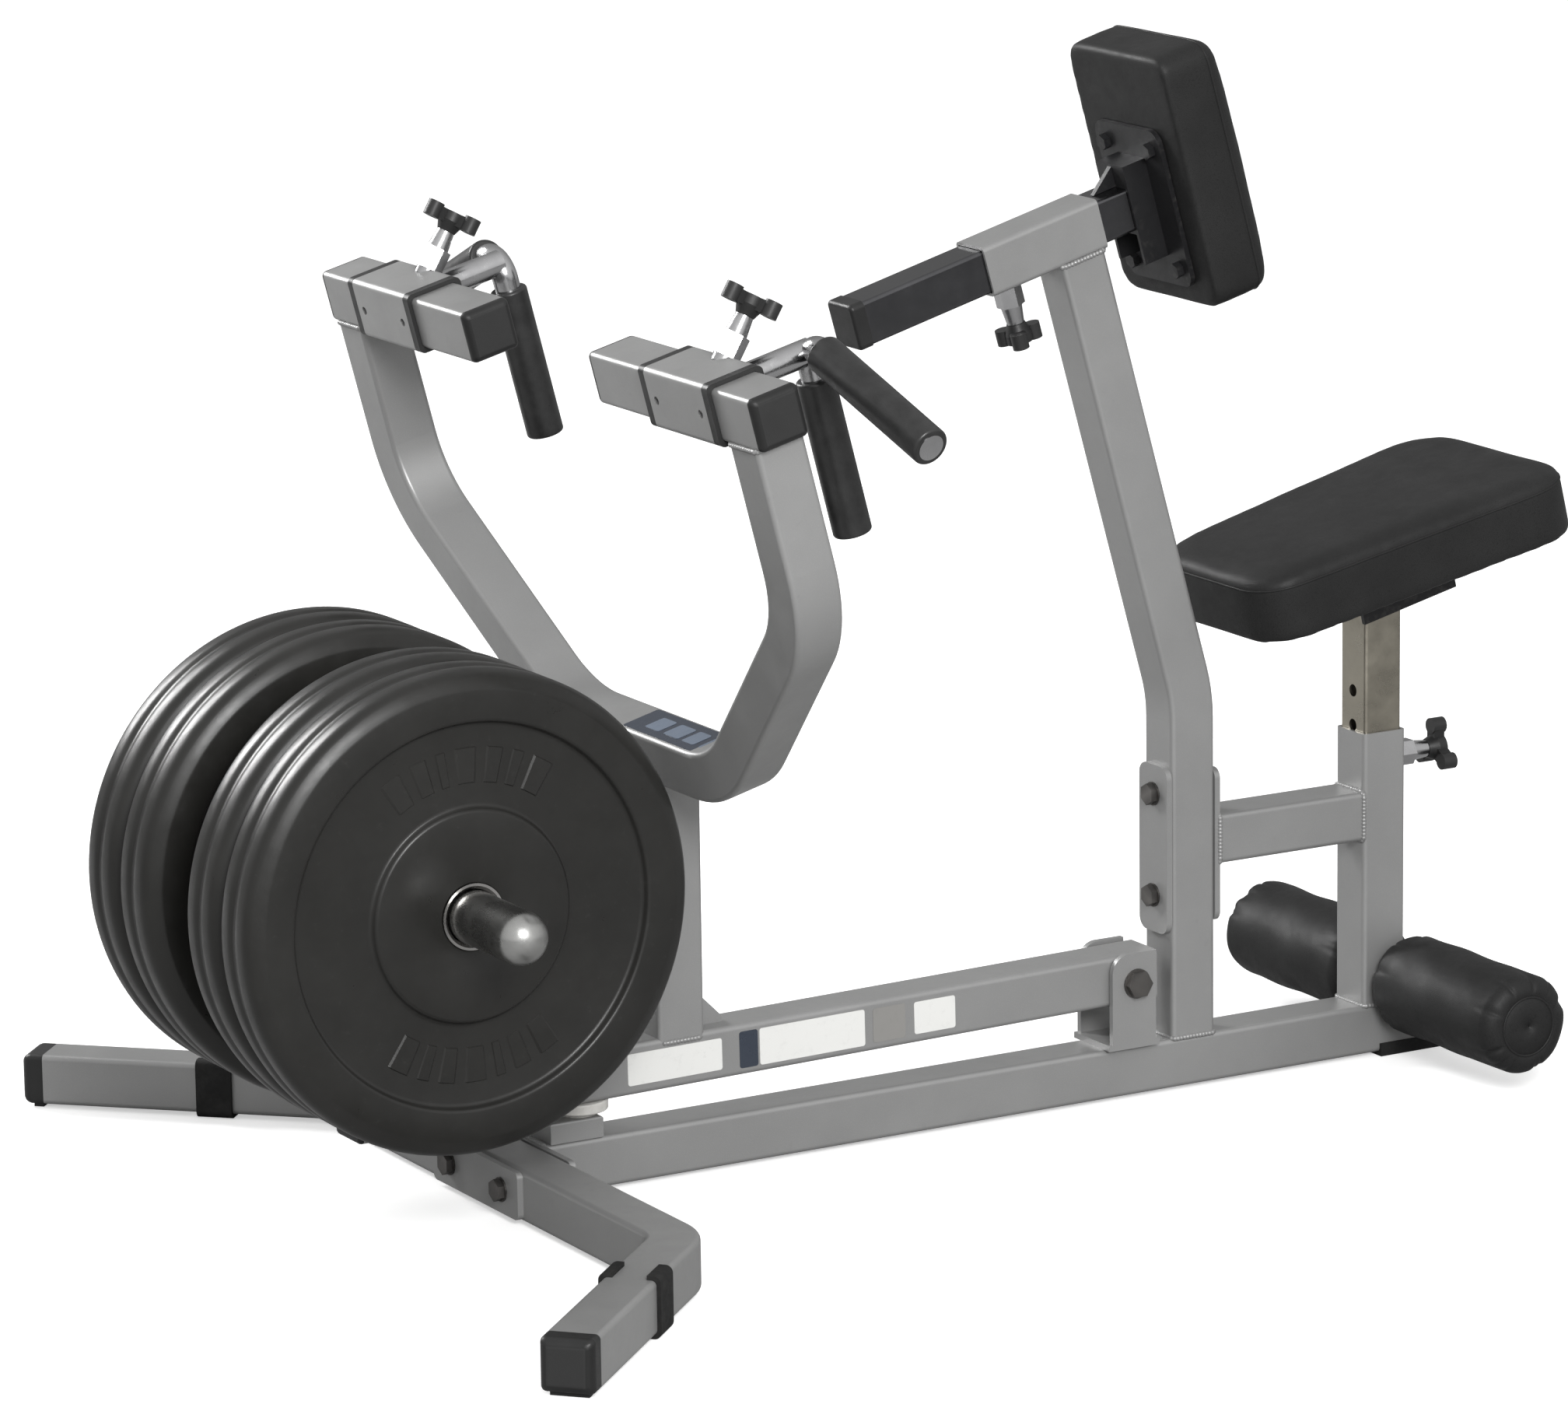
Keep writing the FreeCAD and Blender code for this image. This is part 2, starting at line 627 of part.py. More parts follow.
def post_gusset():
    x = POST_X + TUBE / 2
    top = lever_bottom_z(x) + TUBE
    wire = Part.makePolygon([V(x, -4, top - 3), V(x + 30, -4, top - 3), V(x + 30, -4, top + 6),
                             V(x + 6, -4, top + 30), V(x, -4, top + 30), V(x, -4, top - 3)])
    return Part.Face(wire).extrude(V(0, 8, 0)).cut(lever_solid())


def upright_bar(size_x, size_y, z0, z1, x, radius=CORNER):
    """Solid rectangular bar standing at x."""
    bar = rounded_bar(z1 - z0, size_y, size_x, radius)
    return moved(bar, frame(V(x, 0, z0), UP, AX))


def horn_carrier():
    """Capped upright tube on the front end of the lever; the horn bar passes through it."""
    top, inside = HORN_Z + 38.0, 2 * WALL
    tube = upright_bar(CARRIER_DEPTH, TUBE, 110, top, HORN_X)
    hollow = upright_bar(CARRIER_DEPTH - inside, TUBE - inside, 100, top - WALL, HORN_X, 2.0)
    bar = rod(HORN_CORE_R, V(HORN_X, -80, HORN_Z), V(HORN_X, 80, HORN_Z))
    return tube.cut([hollow, lever_solid(), bar]).removeSplitter()


def weight_horn():
    """Through bar with free ends, domed tips and two welded stop collars."""
    straight, covered = HORN_TIP_Y - HORN_R, HORN_FREE_Y
    bar = rod(HORN_CORE_R, V(HORN_X, -covered, HORN_Z), V(HORN_X, covered, HORN_Z))
    ends = [Part.makeSphere(HORN_R, V(HORN_X, s * straight, HORN_Z)) for s in (-1, 1)]
    ends += [rod(HORN_R, V(HORN_X, s * covered, HORN_Z), V(HORN_X, s * straight, HORN_Z))
             for s in (-1, 1)]
    collars = [rod(44.0, V(HORN_X, s * (TUBE / 2), HORN_Z), V(HORN_X, s * (TUBE / 2 + 10), HORN_Z))
               for s in (-1, 1)]
    return bar.fuse(ends + collars).removeSplitter()


def crosspiece(side):
    start = yoke_point(side * CROSS_IN_Y, -TUBE / 2)
    end = yoke_point(side * CROSS_OUT_Y, -TUBE / 2)
    return tube_between(start, end, side=YOKE_E1)


def end_plug(at, out_axis, up_axis, dome=8.0):
    """Domed plastic plug for an open square tube end."""
    head = softened(rounded_bar(dome, TUBE, radius=CORNER), dome - 1.0,
                    lambda e: e.BoundBox.XMin > dome - 0.5)
    stem = rounded_bar(22.0, TUBE - 2 * WALL - 0.4, radius=1.8)
    stem.translate(V(-22, 0, 0))
    return moved(head.fuse(stem).removeSplitter(), frame(at, out_axis, up_axis))


def lever_end_caps():
    along, up = lever_axes()
    caps = [end_plug(lever_line(LEVER_FRONT), along * -1, up, 5.0)]
    for _, side in SIDES:
        inner = yoke_point(side * CROSS_IN_Y, -TUBE / 2)
        outer = yoke_point(side * CROSS_OUT_Y, -TUBE / 2)
        caps.append(end_plug(inner, AY * -side, YOKE_E2))
        caps.append(end_plug(outer, AY * side, YOKE_E2))
    return group(caps)


# ---------------------------------------------------------------- weight plates
def plate_profile():
    """Half section of a bumper plate: radius and thickness coordinate, hub to rim."""
    half = PLATE_T / 2 - 0.15
    return [(HUB_R, -half + 1.5), (99.0, -half + 1.5), (102.0, -half + 6.0), (176.0, -half + 6.0),
            (181.0, -half), (209.0, -half), (PLATE_R - 2.0, -half + 11.0), (PLATE_R, -half + 15.0),
            (PLATE_R, half - 15.0), (PLATE_R - 2.0, half - 11.0), (209.0, half), (181.0, half),
            (176.0, half - 6.0), (102.0, half - 6.0), (99.0, half - 1.5), (HUB_R, half - 1.5)]


def plate_mid(side, index):
    return side * (PLATE_START_Y + PLATE_T * (index + 0.5))


def bumper_plate(side, index):
    pts = [V(r, t, 0) for r, t in plate_profile()]
    disc = Part.Face(Part.makePolygon(pts + [pts[0]])).revolve(XY, AY, 360)
    disc.translate(V(HORN_X, plate_mid(side, index), HORN_Z))
    return Part.Solid(disc) if disc.ShapeType != "Solid" else disc


def plate_hub(side, index):
    """Steel insert with a thin lip at both faces."""
    half, mid = PLATE_T / 2 - 0.15, plate_mid(side, index)
    at = lambda t: V(HORN_X, mid + t, HORN_Z)
    core = rod(HUB_R, at(-half), at(half))
    core = core.cut(rod(PLATE_BORE_R, at(-half - 1), at(half + 1)))
    flare = [Part.makeCone(PLATE_BORE_R + 3.0, PLATE_BORE_R, 3.0, at(-half), AY),
             Part.makeCone(PLATE_BORE_R + 3.0, PLATE_BORE_R, 3.0, at(half), AY * -1)]
    return core.cut(group(flare))


# ---------------------------------------------------------------- handle carriages
def carriage_point(side, offset):
    """Point on the crosspiece axis; offset is measured outwards from the carriage centre."""
    return yoke_point(side * (CARRIAGE_Y + offset), -TUBE / 2)


def carriage_sleeve(side):
    half = CARRIAGE_LEN / 2
    sleeve = tube_between(carriage_point(side, -half), carriage_point(side, half),
                          CARRIAGE, WALL, YOKE_E1, 6.0)
    for offset in (-40.0, 40.0):
        at = carriage_point(side, offset)
        sleeve = sleeve.cut(rod(4.0, at - YOKE_E1 * 40, at - YOKE_E1 * 20))
    plunger = rod(6.4, corner_point(side) - (YOKE_E1 + YOKE_E2) * 12,
                  corner_point(side) + (YOKE_E1 + YOKE_E2) * 12)
    return sleeve.cut(plunger)


def carriage_bushes(side):
    """Black plastic liners pressed into both ends of the sleeve, with thick flanges."""
    out = []
    liner = CARRIAGE - 2 * WALL
    opening = TUBE + 0.8
    for sign in (-1, 1):
        mouth = carriage_point(side, sign * CARRIAGE_LEN / 2)
        away = AY * (side * sign)
        place = frame(mouth, away, YOKE_E2)
        flange = rounded_bar(FLANGE_LEN, CARRIAGE, radius=6.0)
        sock = rounded_bar(30.0, liner - 0.1, radius=3.0)
        sock.translate(V(-30, 0, 0))
        through = rounded_bar(60.0, opening, radius=CORNER + 0.3)
        through.translate(V(-40, 0, 0))
        out.append(moved(flange.fuse(sock).cut(through).removeSplitter(), place))
    return group(out)


def carriage_body_bar(side):
    """Solid block in the sleeve's outer shape, used to trim the pieces welded to it."""
    place = frame(carriage_point(side, -CARRIAGE_LEN), AY * side, YOKE_E2)
    return moved(rounded_bar(2 * CARRIAGE_LEN, CARRIAGE, radius=6.0), place)


def handle_point(side, y, v):
    return YOKE_CORNER + YOKE_E1 * GRIP_BACK + YOKE_E2 * v + V(0, side * y, 0)


def handle_points(side):
    """Vertical leg, then over the bend and down along the lateral leg."""
    drop = math.tan(rad(LATERAL_DROP))
    corner_v = LATERAL_TIP_V + drop * (LATERAL_TIP_Y - HANDLE_Y)
    return [handle_point(side, HANDLE_Y, VERTICAL_TIP_V),
            handle_point(side, HANDLE_Y, corner_v),
            handle_point(side, LATERAL_TIP_Y, LATERAL_TIP_V)]


def handle_bar(side):
    """Chrome bar: bent grip bar and the stub that joins it to the carriage."""
    bar = bent_rod(HANDLE_R, handle_points(side), [HANDLE_BEND_R], YOKE_E1)
    stub_v = -20.0
    stub = rod(HANDLE_R, handle_point(side, HANDLE_Y + 3, stub_v) - YOKE_E1 * (GRIP_BACK - 40),
               handle_point(side, HANDLE_Y + 3, stub_v))
    return bar.fuse(stub).cut(carriage_body_bar(side)).removeSplitter()


def grip(start, end):
    """Rubber sleeve with rounded ends over a straight piece of bar."""
    d = (end - start).normalize()
    sleeve = rod(GRIP_R, start, end)
    sleeve = softened(sleeve, 3.0, lambda e: e.Length > 60 and len(e.Vertexes) == 1)
    return sleeve.cut(rod(HANDLE_R, start - d * 2, end + d * 2))


def handle_grips(side):
    bottom, corner, tip = handle_points(side)
    up = (corner - bottom).normalize()
    out = (tip - corner).normalize()
    cut = HANDLE_BEND_R * math.tan(rad((90 + LATERAL_DROP) / 2))
    vertical = grip(bottom + up * 0.5, corner - up * (cut + 10))
    lateral = grip(corner + out * (cut + 0.5), tip - out * 0.5)
    return group([vertical, lateral])


# ---------------------------------------------------------------- seat
def seat_axes():
    s = rad(SEAT_SLOPE)
    return V(math.cos(s), 0, math.sin(s)), V(-math.sin(s), 0, math.cos(s))


def seat_block():
    """Pad in seat coordinates: a trapezoid, wider at the rear, with round corners in plan."""
    a, b = SEAT_FRONT_W / 2, SEAT_REAR_W / 2
    pts = [V(0, -a, 0), V(0, a, 0), V(SEAT_LEN, b, 0), V(SEAT_LEN, -b, 0)]
    block = Part.Face(Part.makePolygon(pts + [pts[0]])).extrude(V(0, 0, SEAT_THICK))
    corner = SEAT_THICK - 1
    block = softened(block, SEAT_FRONT_CORNER,
                     lambda e: e.BoundBox.ZLength > corner and e.BoundBox.XMax < 1)
    return softened(block, SEAT_REAR_CORNER,
                    lambda e: e.BoundBox.ZLength > corner and e.BoundBox.XMin > SEAT_LEN - 1)


def seat_place(depth):
    along, up = seat_axes()
    return frame(SEAT_TOP - up * depth, along, up)


def seat_pad():
    """Upholstered seat: one closed block for the board, the foam and the cover."""
    block = seat_block()
    top = softened(block, 9.0, lambda e: e.BoundBox.ZMin > SEAT_THICK - 0.1)
    return moved(softened(top, 5.0, lambda e: e.BoundBox.ZMax < 0.1), seat_place(SEAT_THICK))


def seat_bracket():
    """Channel under the seat that takes the top of the post."""
    place = seat_place(SEAT_THICK)
    plate = moved(box(110, 290, -52, 52, -5.0, -0.3), place)
    cheeks = [moved(box(150, 262, min(s * 22.0, s * 27.0), max(s * 22.0, s * 27.0), -42, -5), place)
              for s in (-1, 1)]
    screws = []
    for x in (124, 276):
        for y in (-38, 38):
            head = hex_bar(13.0, V(x, y, -10.0), V(x, y, -5.0))
            screws.append(moved(head, place))
    inner_post = rounded_bar(700, INNER_TUBE + 0.2, radius=3.0)
    hole = moved(inner_post, frame(V(SEAT_POST_X, 0, 100), UP, AX))
    return plate.fuse(cheeks + screws).cut(hole.cut(moved(box(-300, 700, -100, 100, -5.0, 200), place)))


def seat_inner_post():
    tube = tube_between(V(SEAT_POST_X, 0, 165), V(SEAT_POST_X, 0, 560), INNER_TUBE, 2.5, AY, 3.5)
    for k in range(-2, 3):
        z = SEAT_PIN_Z + k * SEAT_HOLE_PITCH
        tube = tube.cut(rod(6.2, V(SEAT_POST_X - 60, 0, z), V(SEAT_POST_X + 60, 0, z)))
    above = moved(box(-300, 700, -200, 200, -5.0, 400), seat_place(SEAT_THICK))
    return tube.cut(above)


# ---------------------------------------------------------------- chest pad
def chest_point(a, y=0.0, up=0.0):
    return CHEST_AXIS + CHEST_A1 * a + CHEST_A2 * up + V(0, y, 0)


def chest_tube():
    tube = tube_between(chest_point(CHEST_TUBE[0]), chest_point(CHEST_TUBE[1]), INNER_TUBE, 2.5,
                        AY, 3.5)
    for k in range(-4, 1):
        at = CHEST_PIN_A + k * CHEST_HOLE_PITCH
        tube = tube.cut(rod(6.2, chest_point(at, 0, -40), chest_point(at)))
    return tube


def chest_tube_cap():
    head = softened(rounded_bar(15.0, INNER_TUBE + 3.0, radius=6.0), 4.0,
                    lambda e: e.BoundBox.XMin > 14)
    stem = rounded_bar(20.0, INNER_TUBE - 5.4, radius=1.0)
    stem.translate(V(-20, 0, 0))
    return moved(head.fuse(stem).removeSplitter(),
                 frame(chest_point(CHEST_TUBE[0]), CHEST_A1 * -1, CHEST_A2))


def chest_bracket():
    """Back plate, vertical channel and gusset that carry the pad on the tube; four bolts."""
    place = frame(chest_point(0), CHEST_A1, CHEST_A2)
    a0 = CHEST_PLATE_A - 5.0
    plate = moved(moved(rounded_bar(5.0, 112.0, 160.0, 14.0),
                        FreeCAD.Placement(V(a0, 0, -6), FreeCAD.Rotation())), place)
    channel = moved(box(CHEST_TUBE[1], a0, -24, 24, -56, 44), place)
    hollow = moved(box(CHEST_TUBE[1] - 1, a0, -20, 20, -60, -INNER_TUBE / 2 - 4), place)
    gusset_pts = [V(66, -3, 21.8), V(92, -3, 21.8), V(92, -3, 42)]
    gusset = moved(Part.Face(Part.makePolygon(gusset_pts + [gusset_pts[0]])).extrude(V(0, 6, 0)),
                   place)
    heads = []
    for y in (-39.0, 39.0):
        for up in (-68.0, 54.0):
            heads.append(moved(moved(hex_bar(14.0, XY, V(0, 0, 7.0)),
                                     FreeCAD.Placement(V(a0 - 7.0, y, up),
                                                       FreeCAD.Rotation(UP, AX))), place))
    return plate.fuse([channel.cut(hollow), gusset] + heads).removeSplitter()


def chest_pad():
    width, height, thick = CHEST_PAD
    body = rounded_bar(thick, width, height, CHEST_PAD_CORNER)
    body = softened(body, 6.0, lambda e: e.BoundBox.XMax < 0.1)
    body = softened(body, 14.0, lambda e: e.BoundBox.XMin > thick - 0.1)
    place = frame(chest_point(CHEST_PLATE_A + 0.3, 0, CHEST_PAD_UP), CHEST_A1, CHEST_A2)
    return moved(body, place)


# ---------------------------------------------------------------- foot rollers
def foot_roller(side):
    """Foam sleeve with closed outer end, free to turn on the axle."""
    inner_y = side * ROLLER_START_Y
    outer_y = side * (ROLLER_START_Y + ROLLER_LEN)
    foam = rod(ROLLER_R, V(ROLLER_X, inner_y, ROLLER_Z), V(ROLLER_X, outer_y, ROLLER_Z))
    foam = softened(foam, 12.0, lambda e: e.Length > 100 and len(e.Vertexes) == 1)
    core_end = side * (ROLLER_START_Y + ROLLER_LEN - 11.5)
    bore = rod(AXLE_R + 0.08, V(ROLLER_X, inner_y - side, ROLLER_Z), V(ROLLER_X, core_end, ROLLER_Z))
    return foam.cut(bore)


# ---------------------------------------------------------------- assemble and export
def add(name, shape):
    parts[name] = shape


def build():
    add("main_rail", main_rail())
    add("front_stabilizer", front_stabilizer())
    add("mounting_plates", mounting_plates())
    add("frame_bolts", frame_bolts())
    add("stabilizer_end_caps", both_sides(leg_cap))
    add("rubber_feet", group([leg_band(-1), leg_band(1), rear_foot()]))
    add("main_upright", main_upright())
    add("seat_frame_tube", seat_frame_tube())
    add("seat_post_sleeve", seat_post_sleeve())
    add("pivot_bracket", pivot_bracket())
    add("pivot_bolt", pivot_bolt())
    add("bump_stop", bump_stop())
    add("bump_pad", bump_pad())
    add("chest_sleeve", chest_sleeve())
    add("roller_axle", roller_axle())
    add("frame_pin_barrels", group([pin_barrel(seat_pin_place(), seat_trim()),
                                    pin_barrel(chest_pin_place(), sleeve_block(TUBE))]))
    add("lever_tube", lever_tube())
    add("lever_post", lever_post())
    add("post_gusset", post_gusset())
    add("horn_carrier", horn_carrier())
    add("weight_horn", weight_horn())
    add("yoke_tube", yoke_tube())
    add("crosspieces", both_sides(crosspiece))
    add("lever_end_caps", lever_end_caps())
    add("pivot_bushes", pivot_bushes())
    build_plates()
    build_handles()
    add("seat_pin_plunger", pin_plunger(seat_pin_place(), 2.8))
    add("seat_pin_knob", pin_knob(seat_pin_place()))
    add("chest_pin_plunger", pin_plunger(chest_pin_place(), 2.8))
    add("chest_pin_knob", pin_knob(chest_pin_place(), 24.0))
    add("seat_inner_post", seat_inner_post())
    add("seat_bracket", seat_bracket())
    add("seat_pad", seat_pad())
    add("chest_tube", chest_tube())
    add("chest_tube_cap", chest_tube_cap())
    add("chest_bracket", chest_bracket())
    add("chest_pad", chest_pad())
    for name, side in SIDES:
        add(name + "_foot_roller", foot_roller(side))


def seat_trim():
    """Outer shape of the seat post, used to trim the pin barrel welded to it."""
    half = TUBE / 2
    return box(SEAT_POST_X - half, SEAT_POST_X + half, -half, half, 100, SEAT_POST_TOP)


def build_plates():
    for name, side in SIDES:
        for index, place in enumerate(("inner", "outer")):
            add(name + "_" + place + "_plate", bumper_plate(side, index))
            add(name + "_" + place + "_plate_hub", plate_hub(side, index))


def build_handles():
    for name, side in SIDES:
        place = corner_pin_place(side)
        add(name + "_carriage", carriage_sleeve(side))
        add(name + "_carriage_bushes", carriage_bushes(side))
        add(name + "_pin_barrel", pin_barrel(place, carriage_body_bar(side)))
        add(name + "_handle_bar", handle_bar(side))
        add(name + "_grips", handle_grips(side))
        add(name + "_pin_plunger", pin_plunger(place, 1.5))
        add(name + "_pin_knob", pin_knob(place))


def export():
    """Move everything so the origin is the middle of the footprint, and write the files."""
    whole = Part.makeCompound(list(parts.values())).optimalBoundingBox(False, False)
    shift = V(-(whole.XMin + whole.XMax) / 2, 0, -whole.ZMin)
    os.makedirs("parts", exist_ok=True)
    for name, shape in parts.items():
        shape.translate(shift)
        shape.exportStep("parts/" + name + ".step")
    print("shift %.4f %.4f %.4f" % tuple(shift), "size", whole.XLength, whole.YLength, whole.ZLength)
    print(len(parts), "parts")
    for name, shape in parts.items():
        if not shape.isValid() or shape.Volume <= 0:
            print("CHECK", name, shape.isValid(), round(shape.Volume))


build()
export()
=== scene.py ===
"""Looks of the seated lever row: materials, cushions, foam rollers, plates, welds and labels."""

import bpy
import bmesh
import json
import math
import random
from mathutils import Matrix, Vector


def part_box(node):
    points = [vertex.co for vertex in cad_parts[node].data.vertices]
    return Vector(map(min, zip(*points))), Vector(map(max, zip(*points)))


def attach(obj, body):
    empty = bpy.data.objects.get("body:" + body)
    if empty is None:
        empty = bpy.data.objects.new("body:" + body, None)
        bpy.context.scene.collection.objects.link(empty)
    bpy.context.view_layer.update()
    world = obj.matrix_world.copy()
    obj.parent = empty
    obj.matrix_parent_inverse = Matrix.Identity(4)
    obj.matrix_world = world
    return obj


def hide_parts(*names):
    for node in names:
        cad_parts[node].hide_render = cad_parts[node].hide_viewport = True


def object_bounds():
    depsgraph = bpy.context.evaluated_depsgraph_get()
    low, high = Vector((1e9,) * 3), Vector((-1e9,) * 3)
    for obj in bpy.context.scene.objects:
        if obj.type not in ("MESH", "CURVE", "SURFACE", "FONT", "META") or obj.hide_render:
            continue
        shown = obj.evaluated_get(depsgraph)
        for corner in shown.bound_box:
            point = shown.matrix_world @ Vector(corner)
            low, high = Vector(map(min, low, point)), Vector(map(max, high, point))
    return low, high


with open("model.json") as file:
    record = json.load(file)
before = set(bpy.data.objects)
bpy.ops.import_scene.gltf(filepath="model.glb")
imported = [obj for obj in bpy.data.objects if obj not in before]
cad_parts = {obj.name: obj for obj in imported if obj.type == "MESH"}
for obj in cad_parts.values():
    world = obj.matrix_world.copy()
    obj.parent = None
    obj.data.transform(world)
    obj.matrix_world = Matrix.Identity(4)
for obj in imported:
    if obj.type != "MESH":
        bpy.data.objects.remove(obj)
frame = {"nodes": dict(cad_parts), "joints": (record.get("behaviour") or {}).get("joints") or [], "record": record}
CAD_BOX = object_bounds()
JOINTS = {joint["name"]: joint for joint in frame["joints"]}
NODES = frame["nodes"]
random.seed(7)

X, Y, Z = Vector((1, 0, 0)), Vector((0, 1, 0)), Vector((0, 0, 1))
SIDES = (("left", -1), ("right", 1))
FULL_TURN = 2 * math.pi
SEAT_SLOPE, LEVER_SLOPE, PIN_TO_YOKE = -13.4, -0.86, 45  # degrees about Y, as in the CAD


def about_y(vector, degrees):
    return Matrix.Rotation(math.radians(degrees), 3, "Y") @ vector


SEAT_UP = about_y(Z, SEAT_SLOPE)
CHEST_BACK = Vector(JOINTS["chest_reach"]["axis"])
CHEST_UP = CHEST_BACK.cross(Y)
YOKE_BACK = about_y(Vector(JOINTS["left_handle_pin_pull"]["axis"]), PIN_TO_YOKE)
YOKE_UP = YOKE_BACK.cross(Y)
PIVOT = Vector(JOINTS["lever_pivot"]["pos_m"])
LEVER_ALONG = about_y(X, LEVER_SLOPE)
LEVER_UP = LEVER_ALONG.cross(Y)

# Upholstery, metres.
CUSHION_VOXEL = 0.005
CUSHION_INSET = 0.0008
CUSHION_PRESSURE = 4.0
EVENING_ROUNDS = 24
BOARD_GAP = 0.0005
SEAM_RADIUS, SEAM_SPACING = 0.0011, 0.0025
ROLLER_BORE, ROLLER_SHOULDER, ROLLER_DISC = 0.0138, 0.016, 0.029
PLEAT_COUNT, PLEAT_REACH, PLEAT_DEPTH = 15, 0.027, 0.0034
PIPING_RADIUS = 0.0013

# Plates, metres: the web lies this deep below the rim's face; the raised bars stand on it.
WEB_DEPTH = 0.0070
EMBOSS_RADIUS, EMBOSS_HALF_WIDTH = 0.139, 0.017

# Welds and labels, metres.
WELD_RADIUS, WELD_CORNER, WELD_SPACING = 0.0024, 0.005, 0.0009
TUBE_SIDE, HAIR = 0.050, 0.00002


# ------------------------------------------------------------------ materials
class Graph:
    """A material with one principled shader and a short way to add and join nodes."""

    def __init__(self, name, color, roughness, metallic=0.0, specular=0.5):
        self.material = bpy.data.materials.new(name)
        self.material.use_nodes = True
        self.nodes = self.material.node_tree.nodes
        self.links = self.material.node_tree.links
        self.shader = self.nodes["Principled BSDF"]
        self.shader.inputs["Base Color"].default_value = (*color, 1)
        self.shader.inputs["Roughness"].default_value = roughness
        self.shader.inputs["Metallic"].default_value = metallic
        self.shader.inputs["Specular IOR Level"].default_value = specular
        self.coords = self.add("TexCoord").outputs["Object"]

    def add(self, kind, **values):
        node = self.nodes.new("ShaderNode" + kind)
        for key, value in values.items():
            if hasattr(node, key):
                setattr(node, key, value)
            else:
                node.inputs[key.replace("_", " ")].default_value = value
        return node

    def join(self, source, target):
        self.links.new(source, target)

    def stretched(self, scale):
        mapping = self.add("Mapping")
        mapping.inputs["Scale"].default_value = scale
        self.join(self.coords, mapping.inputs["Vector"])
        return mapping.outputs["Vector"]

    def noise(self, scale, detail=2.0, rough=0.5, vector=None):
        node = self.add("TexNoise", Scale=scale, Detail=detail, Roughness=rough)
        self.join(vector or self.coords, node.inputs["Vector"])
        return node.outputs["Fac"]

    def cells(self, scale, feature="F1"):
        node = self.add("TexVoronoi", feature=feature, Scale=scale)
        self.join(self.coords, node.inputs["Vector"])
        return node.outputs["Distance"]

    def remap(self, source, low, high, to_low, to_high):
        node = self.add("MapRange")
        self.join(source, node.inputs["Value"])
        for key, value in zip(("From Min", "From Max", "To Min", "To Max"),
                              (low, high, to_low, to_high)):
            node.inputs[key].default_value = value
        return node.outputs["Result"]

    def math(self, operation, a, b):
        node = self.add("Math", operation=operation)
        for index, value in enumerate((a, b)):
            if isinstance(value, (int, float)):
                node.inputs[index].default_value = value
            else:
                self.join(value, node.inputs[index])
        return node.outputs["Value"]

    def mix(self, factor, color_a, color_b):
        node = self.add("Mix", data_type="RGBA")
        for key, value in (("A", color_a), ("B", color_b)):
            socket = [s for s in node.inputs if s.name == key and s.type == "RGBA"][0]
            if isinstance(value, tuple):
                socket.default_value = (*value, 1)
            else:
                self.join(value, socket)
        self.join(factor, node.inputs["Factor"])
        return [s for s in node.outputs if s.type == "RGBA"][0]

    def color(self, source):
        self.join(source, self.shader.inputs["Base Color"])

    def roughness(self, source):
        self.join(source, self.shader.inputs["Roughness"])

    def uneven_gloss(self, noise, low, high):
        """Roughness that drifts between two values; noise holds the arguments of noise()."""
        self.roughness(self.remap(self.noise(*noise), 0.3, 0.7, low, high))

    def bump(self, *layers):
        """Each layer is a height source, its strength and its depth in metres."""
        normal = None
        for source, strength, depth in layers:
            node = self.add("Bump", Strength=strength, Distance=depth)
            self.join(source, node.inputs["Height"])
            if normal:
                self.join(normal, node.inputs["Normal"])
            normal = node.outputs["Normal"]
        self.join(normal, self.shader.inputs["Normal"])

    def worn_edges(self, low=0.52, high=0.62):
        pointed = self.add("NewGeometry").outputs["Pointiness"]
        return self.remap(pointed, low, high, 0.0, 1.0)


def shade(color, factor):
    return tuple(min(1.0, c * factor) for c in color)


def powder_coat():
    base = (0.290, 0.290, 0.288)
    g = Graph("silver_grey_powder_coat", base, 0.40, 0.40)
    tone = g.remap(g.noise(5.0, 4.0, 0.6), 0.3, 0.7, 0.0, 1.0)
    body = g.mix(tone, shade(base, 0.93), shade(base, 1.07))
    # Metal flakes painted lighter: the flakes are real, and their extra brightness is a painted glint.
    flakes = g.remap(g.cells(1500.0), 0.0, 0.28, 1.0, 0.0)
    flakes_and_painted_glint = g.mix(g.math("MULTIPLY", flakes, 0.45), body, shade(base, 1.9))
    scuff = g.remap(g.noise(38.0, 6.0, 0.7), 0.62, 0.74, 0.0, 0.35)
    g.color(g.mix(scuff, flakes_and_painted_glint, shade(base, 0.80)))
    g.uneven_gloss((22.0, 5.0, 0.65), 0.33, 0.47)
    g.bump((g.noise(900.0, 2.0), 0.10, 0.0004), (g.noise(60.0, 2.0), 0.04, 0.001))
    return g.material


def moulded_plastic():
    base, rough = (0.013, 0.013, 0.013), 0.42
    g = Graph("black_plastic", base, rough, specular=0.35)
    tone = g.remap(g.noise(14.0, 4.0), 0.35, 0.65, 0.0, 1.0)
    body = g.mix(tone, shade(base, 0.85), shade(base, 1.25))
    g.color(g.mix(g.worn_edges(), body, shade(base, 1.8)))
    g.uneven_gloss((30.0, 5.0, 0.7), rough - 0.07, rough + 0.10)
    g.bump((g.cells(950.0), 0.20, 0.0002), (g.noise(120.0, 3.0), 0.05, 0.0005))
    return g.material


